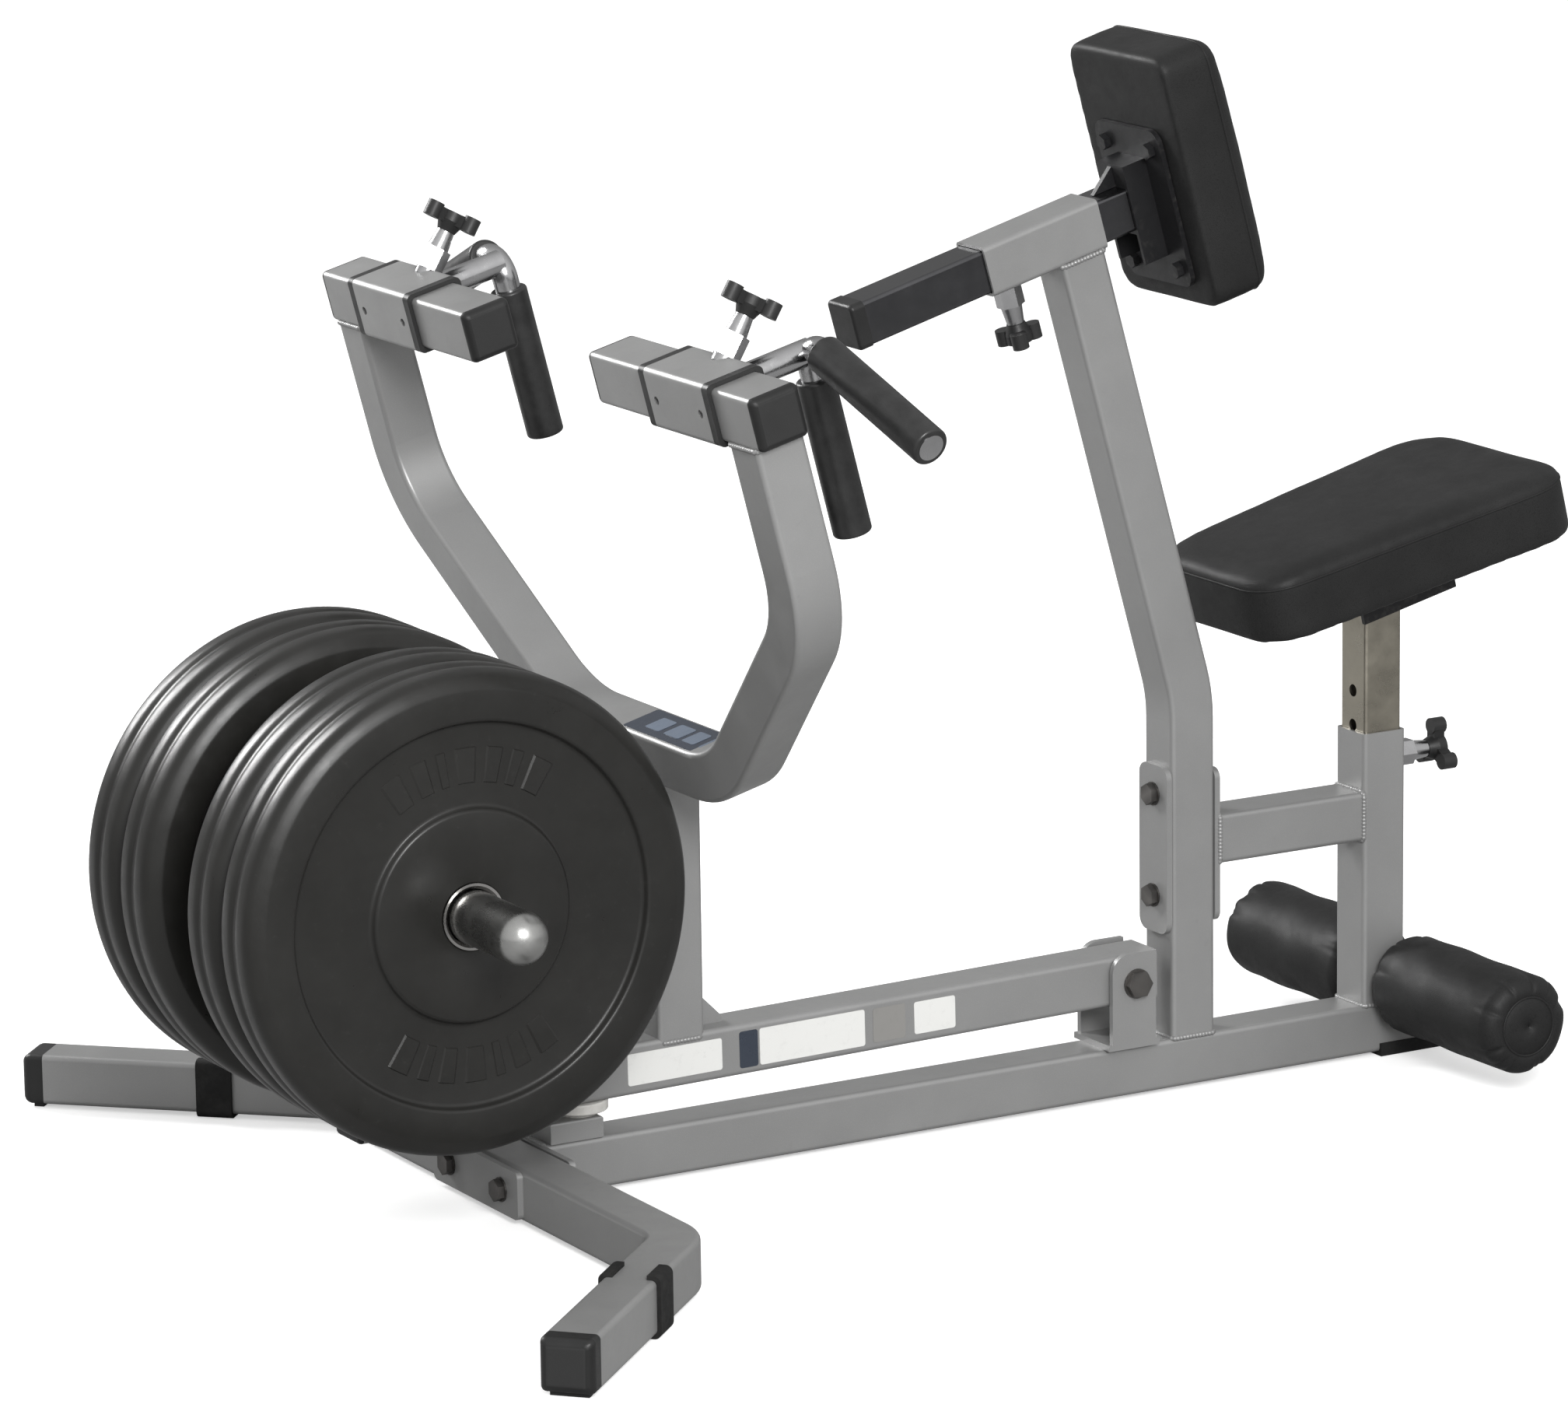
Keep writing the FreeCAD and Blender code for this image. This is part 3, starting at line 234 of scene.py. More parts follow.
def floor_rubber():
    base = (0.010, 0.010, 0.010)
    g = Graph("foot_rubber", base, 0.7, specular=0.25)
    dust = g.remap(g.noise(26.0, 6.0, 0.7), 0.45, 0.70, 0.0, 0.5)
    g.color(g.mix(dust, base, (0.034, 0.033, 0.031)))
    g.uneven_gloss((60.0, 4.0), 0.60, 0.80)
    g.bump((g.noise(420.0, 4.0, 0.7), 0.30, 0.0004), (g.noise(45.0, 3.0), 0.10, 0.0012))
    return g.material


def pale_rubber():
    base = (0.62, 0.61, 0.58)
    g = Graph("pale_rubber", base, 0.55)
    grime = g.remap(g.noise(34.0, 6.0, 0.7), 0.48, 0.72, 0.0, 0.55)
    g.color(g.mix(grime, base, (0.30, 0.29, 0.27)))
    g.uneven_gloss((60.0, 4.0), 0.48, 0.66)
    g.bump((g.noise(300.0, 3.0), 0.15, 0.0004),)
    return g.material


def bright_metal(name, base, rough, grain):
    """Plated or machined metal with long fine scratches."""
    g = Graph(name, base, rough, 1.0)
    smudge = g.noise(24.0, 5.0, 0.65)
    g.color(g.mix(g.remap(smudge, 0.35, 0.65, 0.0, 1.0), shade(base, 0.90), shade(base, 1.06)))
    fine = g.noise(grain, 3.0, 0.6, g.stretched((1.0, 0.05, 1.0)))
    g.roughness(g.math("ADD", g.remap(smudge, 0.35, 0.7, rough * 0.8, rough * 1.6),
                       g.remap(fine, 0.5, 0.7, 0.0, 0.05)))
    g.bump((fine, 0.015, 0.0001),)
    return g.material


def black_oxide():
    base = (0.030, 0.029, 0.028)
    g = Graph("black_oxide", base, 0.38, 0.85)
    g.color(g.mix(g.worn_edges(0.53, 0.66), base, (0.22, 0.21, 0.20)))
    g.uneven_gloss((90.0, 5.0, 0.7), 0.30, 0.52)
    g.bump((g.noise(700.0, 3.0), 0.12, 0.0003),)
    return g.material


def satin_black_paint():
    base = (0.014, 0.014, 0.015)
    g = Graph("satin_black_paint", base, 0.36, 0.15, specular=0.35)
    chips = g.math("MULTIPLY", g.worn_edges(), g.remap(g.noise(160.0, 4.0), 0.5, 0.66, 0.0, 0.5))
    g.color(g.mix(chips, base, (0.055, 0.053, 0.05)))
    g.uneven_gloss((35.0, 5.0, 0.65), 0.28, 0.46)
    g.bump((g.noise(800.0, 2.0), 0.10, 0.0003),)
    return g.material


def grip_rubber():
    base = (0.014, 0.014, 0.014)
    g = Graph("grip_rubber", base, 0.34)
    tone = g.remap(g.noise(40.0, 5.0, 0.65), 0.35, 0.7, 0.0, 1.0)
    g.color(g.mix(tone, shade(base, 0.8), shade(base, 1.7)))
    g.uneven_gloss((70.0, 5.0, 0.7), 0.27, 0.46)
    g.bump((g.cells(1100.0), 0.18, 0.0002), (g.noise(90.0, 3.0), 0.05, 0.0006))
    return g.material


def plate_rubber():
    base = (0.0150, 0.0146, 0.0134)
    g = Graph("plate_rubber", base, 0.36, specular=0.38)
    tone = g.remap(g.noise(9.0, 5.0, 0.6), 0.35, 0.68, 0.0, 1.0)
    body = g.mix(tone, shade(base, 0.80), shade(base, 1.18))
    chalk = g.remap(g.noise(120.0, 7.0, 0.75), 0.60, 0.72, 0.0, 0.35)
    g.color(g.mix(chalk, body, (0.034, 0.033, 0.031)))
    g.uneven_gloss((30.0, 6.0, 0.7), 0.27, 0.43)
    g.bump((g.noise(650.0, 4.0, 0.7), 0.16, 0.0004), (g.noise(26.0, 3.0), 0.05, 0.002))
    return g.material


def vinyl():
    """Upholstery vinyl: small leather pebbles with fine creases between them."""
    base = (0.017, 0.017, 0.017)
    g = Graph("black_vinyl", base, 0.46, specular=0.20)
    pebble = g.remap(g.cells(620.0, "DISTANCE_TO_EDGE"), 0.0, 0.10, 0.0, 1.0)
    tone = g.remap(g.noise(12.0, 4.0, 0.6), 0.35, 0.65, 0.0, 1.0)
    body = g.mix(tone, shade(base, 0.86), shade(base, 1.18))
    # The creases between pebbles are painted darker: painted shade in the creases.
    g.color(g.mix(pebble, shade(base, 0.6), body))
    g.uneven_gloss((45.0, 5.0, 0.65), 0.40, 0.56)
    g.bump((pebble, 0.22, 0.0003), (g.noise(1500.0, 3.0), 0.10, 0.0002),
           (g.noise(30.0, 3.0), 0.06, 0.002))
    return g.material


def printed_film(name, base, rough=0.35):
    g = Graph(name, base, rough)
    rub = g.remap(g.noise(80.0, 6.0, 0.7), 0.55, 0.75, 0.0, 0.35)
    g.color(g.mix(rub, base, shade(base, 0.72)))
    g.uneven_gloss((60.0, 4.0), rough - 0.08, rough + 0.12)
    g.bump((g.noise(500.0, 2.0), 0.05, 0.0002),)
    return g.material


def pale_floor():
    """Nearly white to the camera; darker to the light it throws back on to the machine."""
    base = (0.86, 0.86, 0.855)
    g = Graph("pale_floor", base, 0.7, specular=0.1)
    seen = g.add("LightPath").outputs["Is Camera Ray"]
    tone = g.mix(g.noise(1.5, 3.0), shade(base, 0.985), base)
    g.color(g.mix(seen, (0.34, 0.34, 0.34), tone))
    g.shader.inputs["Emission Color"].default_value = (1, 1, 1, 1)
    g.join(g.math("MULTIPLY", seen, 0.48), g.shader.inputs["Emission Strength"])
    g.bump((g.noise(30.0, 3.0), 0.02, 0.001),)
    return g.material


MATERIALS = {
    "frame_paint": powder_coat(), "black_paint": satin_black_paint(), "black_bolts": black_oxide(),
    "black_plastic": moulded_plastic(), "foot_rubber": floor_rubber(),
    "pale_rubber": pale_rubber(),
    "chrome": bright_metal("chrome", (0.46, 0.46, 0.465), 0.19, 500.0),
    # Plated tube: the metal is real, and its beige tint is a painted reflection.
    "nickel": bright_metal("plated_painted_beige", (0.36, 0.335, 0.28), 0.30, 900.0),
    "grip_rubber": grip_rubber(), "plate_rubber": plate_rubber(),
    "hub_steel": bright_metal("turned_steel", (0.40, 0.39, 0.38), 0.24, 1200.0),
    "vinyl": vinyl(),
}
# Chest tube chrome: its dark base colour is a painted reflection of dark surroundings.
CHROME_PAINTED_DARK = bright_metal("chrome_painted_dark", (0.11, 0.11, 0.115), 0.14, 500.0)
HORN_CHROME = bright_metal("worn_chrome", (0.42, 0.42, 0.41), 0.25, 700.0)


def dress(obj, material):
    obj.data.materials.clear()
    obj.data.materials.append(material)
    return obj


def dress_nodes():
    """Every CAD node takes the material of its record slot; two have a chrome of their own."""
    for entry in frame["record"]["subparts"]:
        dress(NODES[entry["node"]], MATERIALS[entry["material_slot"]])
    # Chest tube: plain chrome, darkened by a painted reflection.
    dress(NODES["chest_tube"], CHROME_PAINTED_DARK)
    dress(NODES["weight_horn"], HORN_CHROME)


# ------------------------------------------------------------------ mesh helpers
def mesh_object(name, verts, faces, material, smooth=True):
    mesh = bpy.data.meshes.new(name)
    mesh.from_pydata([tuple(v) for v in verts], [], faces)
    mesh.validate()
    obj = bpy.data.objects.new(name, mesh)
    bpy.context.scene.collection.objects.link(obj)
    dress(obj, material)
    for polygon in mesh.polygons:
        polygon.use_smooth = smooth
    tidy_normals(obj)
    return obj


def tidy_normals(obj):
    work = bmesh.new()
    work.from_mesh(obj.data)
    bmesh.ops.recalc_face_normals(work, faces=work.faces)
    work.to_mesh(obj.data)
    work.free()


def lathe(name, profile, centre, axis, start, steps, material, ripple=None):
    """Turned solid. profile is (radius, distance along axis); ripple can change each radius."""
    other = axis.cross(start)
    verts = []
    for k in range(steps):
        turn = FULL_TURN * k / steps
        out = start * math.cos(turn) + other * math.sin(turn)
        for radius, along in profile:
            r = ripple(radius, along, turn) if ripple else radius
            verts.append(centre + out * r + axis * along)
    n = len(profile)
    faces = [(k * n + i, k * n + (i + 1) % n, (k + 1) % steps * n + (i + 1) % n,
              (k + 1) % steps * n + i) for k in range(steps) for i in range(n)]
    return mesh_object(name, verts, faces, material)


def swept_ring(name, points, radius, material):
    """Round bead along a closed loop of points; radius is a number or a function of the index."""
    sides = 8
    verts, faces = [], []
    count = len(points)
    for i, point in enumerate(points):
        along = (points[(i + 1) % count] - points[i - 1]).normalized()
        if i:
            side = (side - along * side.dot(along)).normalized()
        else:
            side = along.orthogonal().normalized()
        other = along.cross(side)
        r = radius(i) if callable(radius) else radius
        for k in range(sides):
            turn = FULL_TURN * k / sides
            verts.append(point + (side * math.cos(turn) + other * math.sin(turn)) * r)
    for i in range(count):
        j = (i + 1) % count
        twist = 0
        if j == 0:
            twist = min(range(sides), key=lambda t: (verts[t] - verts[i * sides]).length)
        for k in range(sides):
            faces.append((i * sides + k, i * sides + (k + 1) % sides,
                          j * sides + (k + 1 + twist) % sides, j * sides + (k + twist) % sides))
    return mesh_object(name, verts, faces, material)


def points_of(node):
    return [vertex.co.copy() for vertex in NODES[node].data.vertices]


def extent(points, axis):
    along = [point.dot(axis) for point in points]
    return min(along), max(along)


# ------------------------------------------------------------------ upholstery
def remeshed_copy(node, name):
    """The CAD solid again with even faces, drawn in by a hair so that it can swell."""
    obj = bpy.data.objects.new(name, NODES[node].data.copy())
    bpy.context.scene.collection.objects.link(obj)
    work = bmesh.new()
    work.from_mesh(obj.data)
    bmesh.ops.remove_doubles(work, verts=work.verts, dist=1e-5)
    work.to_mesh(obj.data)
    work.free()
    obj.data.remesh_voxel_size = CUSHION_VOXEL
    bpy.context.view_layer.objects.active = obj
    obj.select_set(True)
    bpy.ops.object.voxel_remesh()
    normals = [vertex.normal.copy() for vertex in obj.data.vertices]
    for vertex, normal in zip(obj.data.vertices, normals):
        vertex.co -= normal * CUSHION_INSET
    return obj


def inflate(obj):
    """Places of the vertices after a short cloth run under pressure, with no gravity."""
    frames = 20
    modifier = obj.modifiers.new("cloth", "CLOTH")
    settings = modifier.settings
    settings.use_pressure = True
    settings.uniform_pressure_force = CUSHION_PRESSURE
    settings.effector_weights.gravity = 0
    settings.quality = 5
    settings.mass = 0.3
    settings.tension_stiffness = settings.compression_stiffness = 18
    settings.bending_stiffness = 0.6
    modifier.point_cache.frame_start = 1
    modifier.point_cache.frame_end = frames
    for number in range(1, frames + 1):
        bpy.context.scene.frame_set(number)
    shown = obj.evaluated_get(bpy.context.evaluated_depsgraph_get())
    swollen = [vertex.co.copy() for vertex in shown.data.vertices]
    obj.modifiers.remove(modifier)
    bpy.context.scene.frame_set(1)
    return swollen


def evened_moves(obj, moves):
    """Moves averaged over neighbouring vertices: firm foam swells broadly and never crumples."""
    links = [[] for _ in moves]
    for edge in obj.data.edges:
        a, b = edge.vertices
        links[a].append(b)
        links[b].append(a)
    for _ in range(EVENING_ROUNDS):
        moves = [(moves[i] + sum((moves[j] for j in near), Vector())) / (len(near) + 1)
                 for i, near in enumerate(links)]
    return moves


def cushion(name, node, body, up, cap, crown, seam_share):
    """Upholstered pad swollen from its CAD solid; flat on the side that meets its board."""
    obj = remeshed_copy(node, name)
    across = up.cross(Y)
    low, high = extent(points_of(node), up)
    (y0, y1), (a0, a1) = extent(points_of(node), Y), extent(points_of(node), across)
    rest = [vertex.co.copy() for vertex in obj.data.vertices]
    normals = [vertex.normal.copy() for vertex in obj.data.vertices]
    swollen = inflate(obj)
    moves = [normal * max(0.0, (after - before).dot(normal))
             for before, after, normal in zip(rest, swollen, normals)]
    for vertex, before, move in zip(obj.data.vertices, rest, evened_moves(obj, moves)):
        if move.length > cap:
            move = move.normalized() * cap
        place = before + move
        height = place.dot(up) - low
        u = (2 * place.y - y0 - y1) / (y1 - y0)
        v = (2 * place.dot(across) - a0 - a1) / (a1 - a0)
        share = min(1.0, max(0.0, height / (high - low)))
        place += up * crown * share * max(0.0, 1 - u * u) * max(0.0, 1 - v * v)
        if height < BOARD_GAP:
            place += up * (BOARD_GAP - height)
        vertex.co = place
    smooth = obj.modifiers.new("smooth", "CORRECTIVE_SMOOTH")
    smooth.iterations = 4
    smooth.use_only_smooth = True
    subdivide = obj.modifiers.new("subdivide", "SUBSURF")
    subdivide.levels = subdivide.render_levels = 1
    bpy.context.view_layer.objects.active = obj
    bpy.ops.object.modifier_apply(modifier="smooth")
    bpy.ops.object.modifier_apply(modifier="subdivide")
    for polygon in obj.data.polygons:
        polygon.use_smooth = True
    dress(obj, MATERIALS["vinyl"])
    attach(obj, body)
    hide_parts(node)
    add_seam(name + "_seam", obj, up, low + (high - low) * seam_share, body)


def section_loop(obj, up, height):
    """Ordered points where a level plane cuts the mesh."""
    work = bmesh.new()
    work.from_mesh(obj.data)
    cut = bmesh.ops.bisect_plane(work, geom=work.verts[:] + work.edges[:] + work.faces[:],
                                 plane_co=up * height, plane_no=up)
    edges = [item for item in cut["geom_cut"] if isinstance(item, bmesh.types.BMEdge)]
    links = {}
    for edge in edges:
        a, b = edge.verts
        links.setdefault(a, []).append(b)
        links.setdefault(b, []).append(a)
    start = next(iter(links))
    loop, last, here = [start.co.copy()], None, start
    while True:
        following = [v for v in links[here] if v is not last]
        if not following or following[0] is start:
            break
        last, here = here, following[0]
        loop.append(here.co.copy())
    work.free()
    return loop


def evenly(points, spacing):
    """The closed loop again, smoothed, with points a fixed distance apart."""
    loop = points + [points[0]]
    lengths = [0.0]
    for a, b in zip(loop, loop[1:]):
        lengths.append(lengths[-1] + (b - a).length)
    count = max(24, int(lengths[-1] / spacing))
    out, j = [], 0
    for k in range(count):
        target = lengths[-1] * k / count
        while lengths[j + 1] < target:
            j += 1
        share = (target - lengths[j]) / max(lengths[j + 1] - lengths[j], 1e-9)
        out.append(loop[j].lerp(loop[j + 1], share))
    for _ in range(3):
        out = [(out[i - 1] + out[i] * 2 + out[(i + 1) % count]) / 4 for i in range(count)]
    return out


def add_seam(name, obj, up, height, body):
    """Folded seam, a bead half sunk in the cover all the way round a pad."""
    loop = evenly(section_loop(obj, up, height), SEAM_SPACING)
    seam = swept_ring(name, loop, SEAM_RADIUS, MATERIALS["vinyl"])
    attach(seam, body)


def roller_profile(length, radius):
    """Foam sleeve from the inner end to the outer end; closed discs with a rounded shoulder."""
    bore, shoulder, disc = ROLLER_BORE, ROLLER_SHOULDER, ROLLER_DISC
    pts = [(bore, 0.0), (disc - 0.001, 0.0), (disc, 0.0012), (disc + 0.0015, 0.0004)]
    arc = [(radius - shoulder * (1 - math.sin(t)), shoulder * (1 - math.cos(t)))
           for t in (math.radians(a) for a in range(8, 91, 9))]
    pts += arc
    pts += [(radius, shoulder + (length - 2 * shoulder) * k / 14) for k in range(1, 14)]
    pts += [(r, length - a) for r, a in reversed(arc)]
    pts += [(disc + 0.0015, length - 0.0004), (disc, length - 0.0012)]
    pts += [(disc - 0.001, length - 0.0002), (disc * 0.5, length - 0.0001)]
    pts += [(0.0003, length), (0.0003, length - 0.004), (bore, length - 0.004)]
    return pts


def foam_roller(name, side):
    """Vinyl-covered foam roller whose cover is drawn into pleats round flat end discs."""
    node = name + "_foot_roller"
    low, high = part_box(node)
    hub = Vector(JOINTS[name + "_roller_spin"]["pos_m"])
    axis = Y * side
    start_y = low.y if side > 0 else high.y
    length, radius = high.y - low.y, (high.z - low.z) / 2 - 0.0006
    centre = Vector((hub.x, start_y, hub.z))
    pleats = [(random.uniform(0, FULL_TURN), random.uniform(0.10, 0.22), random.uniform(0.5, 1.0))
              for _ in range(PLEAT_COUNT)]

    def gather(r, along, turn):
        near_end = max(0.0, 1.0 - min(along, length - along) / PLEAT_REACH)
        zone = near_end * min(1.0, max(0.0, (r - ROLLER_DISC - 0.001) / 0.008))
        fold = 0.0
        for place, width, depth in pleats:
            gap = (turn - place + math.pi) % FULL_TURN - math.pi
            fold += depth * math.exp(-(gap / width) ** 2 * 6)
        wave = 0.0005 * math.sin(3 * turn + along * 60) + 0.0003 * math.sin(7 * turn - along * 90)
        ease = zone * zone * (3 - 2 * zone)
        soft = wave * min(1.0, max(0.0, (r - ROLLER_DISC) / 0.01))
        return r - PLEAT_DEPTH * ease * min(fold, 1.2) + soft

    obj = lathe(name + "_roller_cover", roller_profile(length, radius), centre, axis, X, 220,
                MATERIALS["vinyl"], gather)
    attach(obj, node)
    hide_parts(node)
    for end, offset in (("inner", axis * 0.0008), ("outer", axis * (length - 0.0008))):
        circle = [centre + offset + (X * math.cos(t) + Z * math.sin(t)) * (ROLLER_DISC + 0.0002)
                  for t in (FULL_TURN * k / 120 for k in range(120))]
        rim = swept_ring(name + "_roller_piping_" + end, circle, PIPING_RADIUS,
                         MATERIALS["vinyl"])
        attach(rim, node)


# ------------------------------------------------------------------ plates
def bumper_profile(radius, half, bore):
    """Rim with two rounded bands and a groove, recessed web, raised centre disc."""
    side = [(bore, half - 0.0022), (bore + 0.0015, half - 0.0012), (0.0955, half - 0.0012)]
    side += [(0.0975, half - 0.0017), (0.0990, half - 0.0035), (0.1000, half - 0.0058)]
    side += [(0.1015, half - 0.0068), (0.1040, half - WEB_DEPTH), (0.1740, half - WEB_DEPTH)]
    side += [(0.1765, half - 0.0064), (0.1780, half - 0.0045), (0.1790, half - 0.0018)]
    side += [(0.1802, half - 0.0004), (0.1825, half), (radius - 0.0175, half)]
    side += [(radius - 0.0150, half - 0.0006), (radius - 0.0060, half - 0.0052)]
    side += [(radius - 0.0035, half - 0.0075), (radius - 0.0012, half - 0.0115)]
    side += [(radius - 0.0001, half - 0.0160), (radius, half * 0.30)]
    side += [(radius - 0.0004, half * 0.16), (radius - 0.0018, half * 0.09)]
    side += [(radius - 0.0022, half * 0.03)]
    far = [(r, -t) for r, t in reversed(side)]
    return side + far


def raised_blocks(name, centre, axis, web, body):
    """Plain embossed bars round the web; each slopes down to the web on all four sides."""
    widths, gap, steps, slope = (9.0, 5.0, 7.0, 9.0, 4.0, 7.0, 9.0), 3.2, 8, 0.0012
    inner, outer = EMBOSS_RADIUS - EMBOSS_HALF_WIDTH, EMBOSS_RADIUS + EMBOSS_HALF_WIDTH
    low, high = web - 0.0004, web + 0.0011
    span = sum(widths) + gap * (len(widths) - 1)
    verts, faces = [], []
    for middle in (90.0, 270.0):
        here = middle - span / 2
        for width in widths:
            base = len(verts)
            for k in range(steps + 1):
                turn = math.radians(here + width * k / steps)
                out = X * math.cos(turn) + Z * math.sin(turn)
                top = high if 0 < k < steps else low
                for r, t in ((inner, low), (inner + slope, top),
                             (outer - slope, top), (outer, low)):
                    verts.append(centre + out * r + axis * t)
            for k in range(steps):
                row = base + k * 4
                for i in range(row, row + 3):
                    faces.append((i, i + 1, i + 5, i + 4))
                faces.append((row + 3, row, row + 4, row + 7))
            faces.append(tuple(base + i for i in range(4)))
            faces.append(tuple(base + steps * 4 + i for i in range(4)))
            here += width + gap
    obj = mesh_object(name, verts, faces, MATERIALS["plate_rubber"], smooth=False)
    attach(obj, body)


def bumper_plate(name, side, level):
    node = name + "_" + level + "_plate"
    low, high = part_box(node)
    centre = (low + high) / 2
    hub_low, hub_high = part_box(node + "_hub")
    bore = (hub_high.z - hub_low.z) / 2
    radius, half = (high.z - low.z) / 2, (high.y - low.y) / 2
    obj = lathe(node + "_rubber", bumper_profile(radius, half, bore), centre, Y, X, 256,
                MATERIALS["plate_rubber"])
    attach(obj, node)
    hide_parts(node)
    if level == "outer":
        raised_blocks(node + "_emboss", centre, Y * side, half - WEB_DEPTH, node)


# ------------------------------------------------------------------ welds and labels
def end_rectangle(node, direction, side=0):
    """Centre, axes and half sizes of a tube's end on that side; side picks one of a pair."""
    depth = 0.002
    points = [point for point in points_of(node) if point.y * side >= 0]
    far = extent(points, direction)[1]
    near = [point for point in points if point.dot(direction) > far - depth]
    u = direction.cross(Y).normalized() if abs(direction.y) < 0.9 else X
    v = direction.cross(u).normalized()
    (u0, u1), (v0, v1) = extent(near, u), extent(near, v)
    centre = direction * far + u * ((u0 + u1) / 2) + v * ((v0 + v1) / 2)
    return centre, u, v, (u1 - u0) / 2, (v1 - v0) / 2


def rounded_rectangle(centre, u, v, half_u, half_v, corner, steps):
    """Points round a rectangle in the plane of u and v, each corner a quarter circle."""
    points = []
    for quarter, (su, sv) in enumerate(((1, 1), (-1, 1), (-1, -1), (1, -1))):
        for k in range(steps + 1):
            turn = math.radians(90 * quarter + 90 / steps * k)
            points.append(centre + u * (su * (half_u - corner) + corner * math.cos(turn))
                          + v * (sv * (half_v - corner) + corner * math.sin(turn)))
    return points


def weld(name, body, centre, u, v, half_u, half_v):
    """Rippled bead round a square tube's end."""
    path = rounded_rectangle(centre, u, v, half_u, half_v, WELD_CORNER, 6)
    phase = random.uniform(0, 6.28)

    def ripple(i):
        return WELD_RADIUS * (1 + 0.16 * math.sin(i * 1.55 + phase) + 0.05 * math.sin(i * 0.37))

    bead = swept_ring(name, evenly(path, WELD_SPACING), ripple, MATERIALS["frame_paint"])
    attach(bead, body)


def weld_node_end(name, body, node, direction, side=0):
    centre, u, v, a, b = end_rectangle(node, direction, side)
    weld(name, body, centre, u, v, a, b)


def add_welds():
    weld_node_end("weld_upright_foot", "frame", "main_upright", -Z)
    weld_node_end("weld_seat_post_foot", "frame", "seat_post_sleeve", -Z)
    weld_node_end("weld_seat_tube_front", "frame", "seat_frame_tube", -X)
    weld_node_end("weld_seat_tube_rear", "frame", "seat_frame_tube", X)
    weld_node_end("weld_rail_front", "frame", "main_rail", -X)
    weld_node_end("weld_upright_top", "frame", "main_upright", CHEST_UP)
    weld_node_end("weld_post_foot", "lever", "lever_post", -LEVER_UP)
    weld_node_end("weld_post_top", "lever", "lever_post", YOKE_UP)
    for name, side in SIDES:
        weld_node_end("weld_" + name + "_arm_top", "lever", "yoke_tube", YOKE_UP, side)


def label(name, body, centre, u, v, width, height, material):
    """Thin sticker with round corners, raised a hair above the tube."""
    corner, rise, taper = 0.0025, 0.00035, 0.997
    outline = rounded_rectangle(Vector(), u, v, width / 2, height / 2, corner, 4)
    n = len(outline)
    lifted = centre + u.cross(v).normalized() * rise
    verts = [centre + p for p in outline] + [lifted + p * taper for p in outline]
    faces = [(i, (i + 1) % n, n + (i + 1) % n, n + i) for i in range(n)]
    faces += [tuple(range(n)), tuple(range(n, 2 * n))]
    obj = mesh_object(name, verts, faces, material, smooth=False)
    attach(obj, body)


def add_labels():
    """Blank stickers on the lever's near side, and a dark plate with pale blocks on the yoke."""
    paper = printed_film("label_paper", (0.72, 0.72, 0.70))
    grey = printed_film("label_grey", (0.24, 0.235, 0.225))
    navy = printed_film("label_dark", (0.030, 0.038, 0.055), 0.28)
    pale = printed_film("label_block", (0.13, 0.16, 0.21))
    face_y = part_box("lever_tube")[0].y - HAIR
    middle = Vector((PIVOT.x, face_y, PIVOT.z)) + LEVER_UP * 0.0034
    places = (("wide", -0.512, 0.102, 0.031, paper), ("dark_end", -0.432, 0.020, 0.036, navy),
              ("long", -0.362, 0.116, 0.036, paper), ("square", -0.277, 0.036, 0.034, grey),
              ("small", -0.226, 0.046, 0.032, paper))
    for name, offset, width, height, material in places:
        label("lever_label_" + name, "lever", middle + LEVER_ALONG * offset, LEVER_ALONG, LEVER_UP,
              width, height, material)
    flat = [point for point in points_of("yoke_tube") if abs(point.y) < 0.14]
    bottom = extent(flat, YOKE_UP)[0]
    near = [point for point in flat if point.dot(YOKE_UP) < bottom + 0.004]
    back = sum(extent(near, YOKE_BACK)) / 2
    top = YOKE_BACK * back + YOKE_UP * (bottom + TUBE_SIDE + HAIR)
    label("yoke_label_plate", "lever", top + Y * -0.066, -Y, YOKE_BACK, 0.168, 0.040, navy)
    blocks = ((-0.126, 0.030), (-0.090, 0.022), (-0.058, 0.028), (-0.022, 0.026))
    for k, (offset, width) in enumerate(blocks):
        label("yoke_label_block_" + str(k), "lever", top + Y * offset + YOKE_UP * 0.0004,
              -Y, YOKE_BACK, width, 0.022, pale)


# ------------------------------------------------------------------ studio
def area_light(name, place, target, size, power):
    data = bpy.data.lights.new(name, "AREA")
    data.shape = "RECTANGLE"
    data.size, data.size_y = size
    data.energy = power
    obj = bpy.data.objects.new(name, data)
    bpy.context.scene.collection.objects.link(obj)
    obj.location = place
    obj.rotation_euler = (Vector(target) - Vector(place)).to_track_quat("-Z", "Y").to_euler()


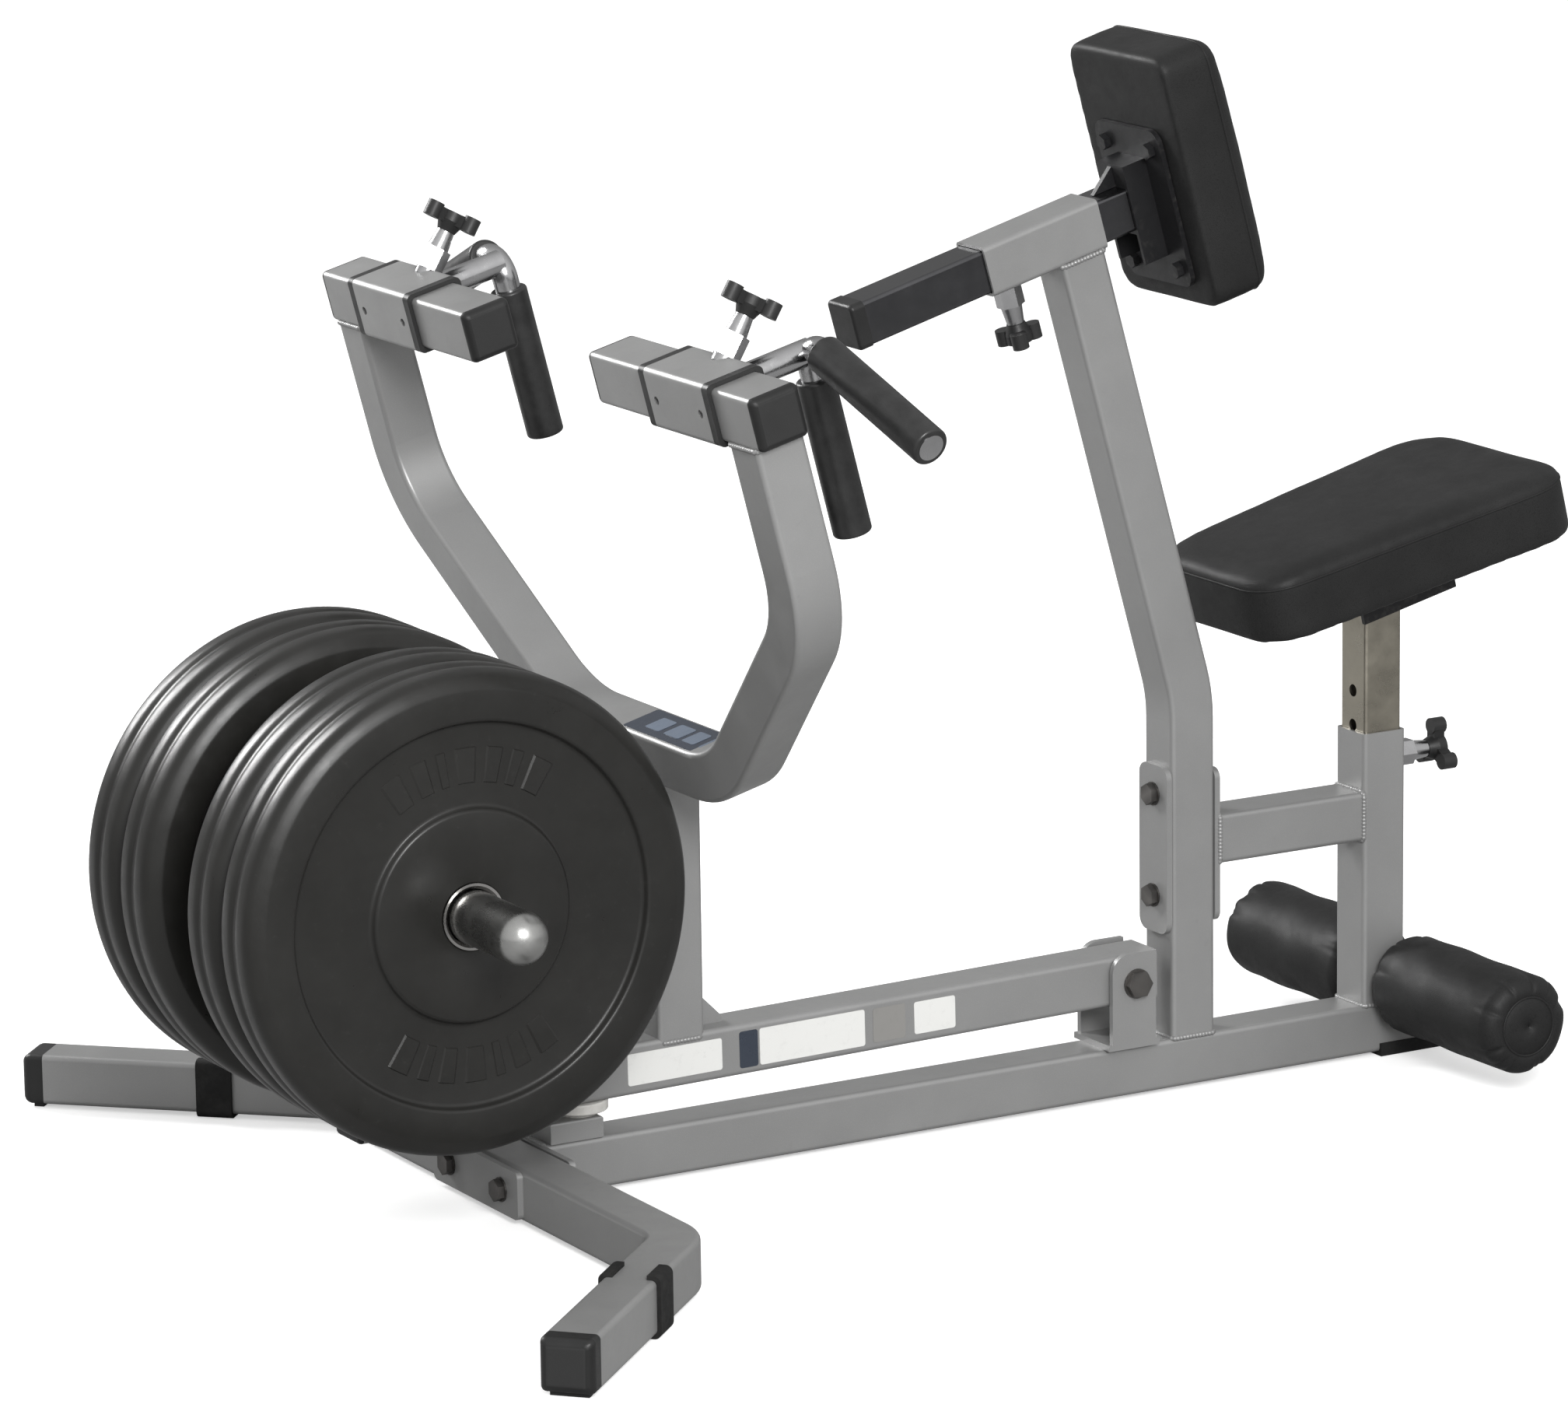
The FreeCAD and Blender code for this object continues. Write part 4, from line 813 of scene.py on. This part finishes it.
def soft_surround():
    """Even studio walls, brighter on the camera's side; plain white where the camera looks."""
    world = bpy.data.worlds.new("studio")
    bpy.context.scene.world = world
    world.use_nodes = True
    nodes, links = world.node_tree.nodes, world.node_tree.links
    walls = nodes["Background"]
    direction = nodes.new("ShaderNodeTexCoord").outputs["Generated"]
    facing = nodes.new("ShaderNodeVectorMath")
    facing.operation = "DOT_PRODUCT"
    facing.inputs[1].default_value = (-0.28, -0.86, 0.42)
    ramp = nodes.new("ShaderNodeMapRange")
    for key, value in (("From Min", -0.8), ("From Max", 0.9), ("To Min", 0.28), ("To Max", 1.0)):
        ramp.inputs[key].default_value = value
    white = nodes.new("ShaderNodeBackground")
    white.inputs["Strength"].default_value = 1.05
    white.inputs["Color"].default_value = (1, 1, 1, 1)
    walls.inputs["Color"].default_value = (1, 1, 1, 1)
    choose = nodes.new("ShaderNodeMixShader")
    links.new(direction, facing.inputs[0])
    links.new(facing.outputs["Value"], ramp.inputs["Value"])
    links.new(ramp.outputs["Result"], walls.inputs["Strength"])
    links.new(nodes.new("ShaderNodeLightPath").outputs["Is Camera Ray"], choose.inputs["Fac"])
    links.new(walls.outputs["Background"], choose.inputs[1])
    links.new(white.outputs["Background"], choose.inputs[2])
    links.new(choose.outputs["Shader"], nodes["World Output"].inputs["Surface"])


def studio():
    soft_surround()
    middle = (Vector(CAD_BOX[0]) + Vector(CAD_BOX[1])) / 2
    area_light("key", middle + Vector((-1.5, -4.6, 2.3)), middle, (1.8, 1.6), 215)
    area_light("streak", middle + Vector((-1.6, 3.3, 1.8)), middle, (0.7, 1.8), 130)
    half = 30.0
    corners = [(-half, -half, 0), (half, -half, 0), (half, half, 0), (-half, half, 0)]
    floor = mesh_object("studio_floor", corners, [(0, 1, 2, 3)], pale_floor())


def camera():
    """Long lens at the photograph's viewing angle: from the front left, slightly above."""
    data = bpy.data.cameras.new("camera")
    data.lens = 167.84
    data.sensor_width = 36.0
    data.clip_end = 100.0
    obj = bpy.data.objects.new("camera", data)
    bpy.context.scene.collection.objects.link(obj)
    yaw, pitch, roll = (math.radians(a) for a in (29.74, 12.80, -0.82))
    obj.location = (PIVOT.x - 3.719, -5.855, 1.963)
    turn = Matrix.Rotation(-yaw, 4, "Z") @ Matrix.Rotation(math.pi / 2 - pitch, 4, "X")
    obj.rotation_euler = (turn @ Matrix.Rotation(roll, 4, "Z")).to_euler()
    bpy.context.scene.camera = obj


# ------------------------------------------------------------------ build
dress_nodes()
cushion("seat_cushion", "seat_pad", "seat", SEAT_UP, cap=0.007, crown=0.004, seam_share=0.86)
cushion("chest_cushion", "chest_pad", "chest_support", CHEST_BACK, cap=0.009, crown=0.012,
        seam_share=0.80)
for side_name, side_sign in SIDES:
    foam_roller(side_name, side_sign)
    for plate_level in ("inner", "outer"):
        bumper_plate(side_name, side_sign, plate_level)
add_welds()
add_labels()
studio()
camera()
bpy.context.scene.view_settings.view_transform = "Standard"
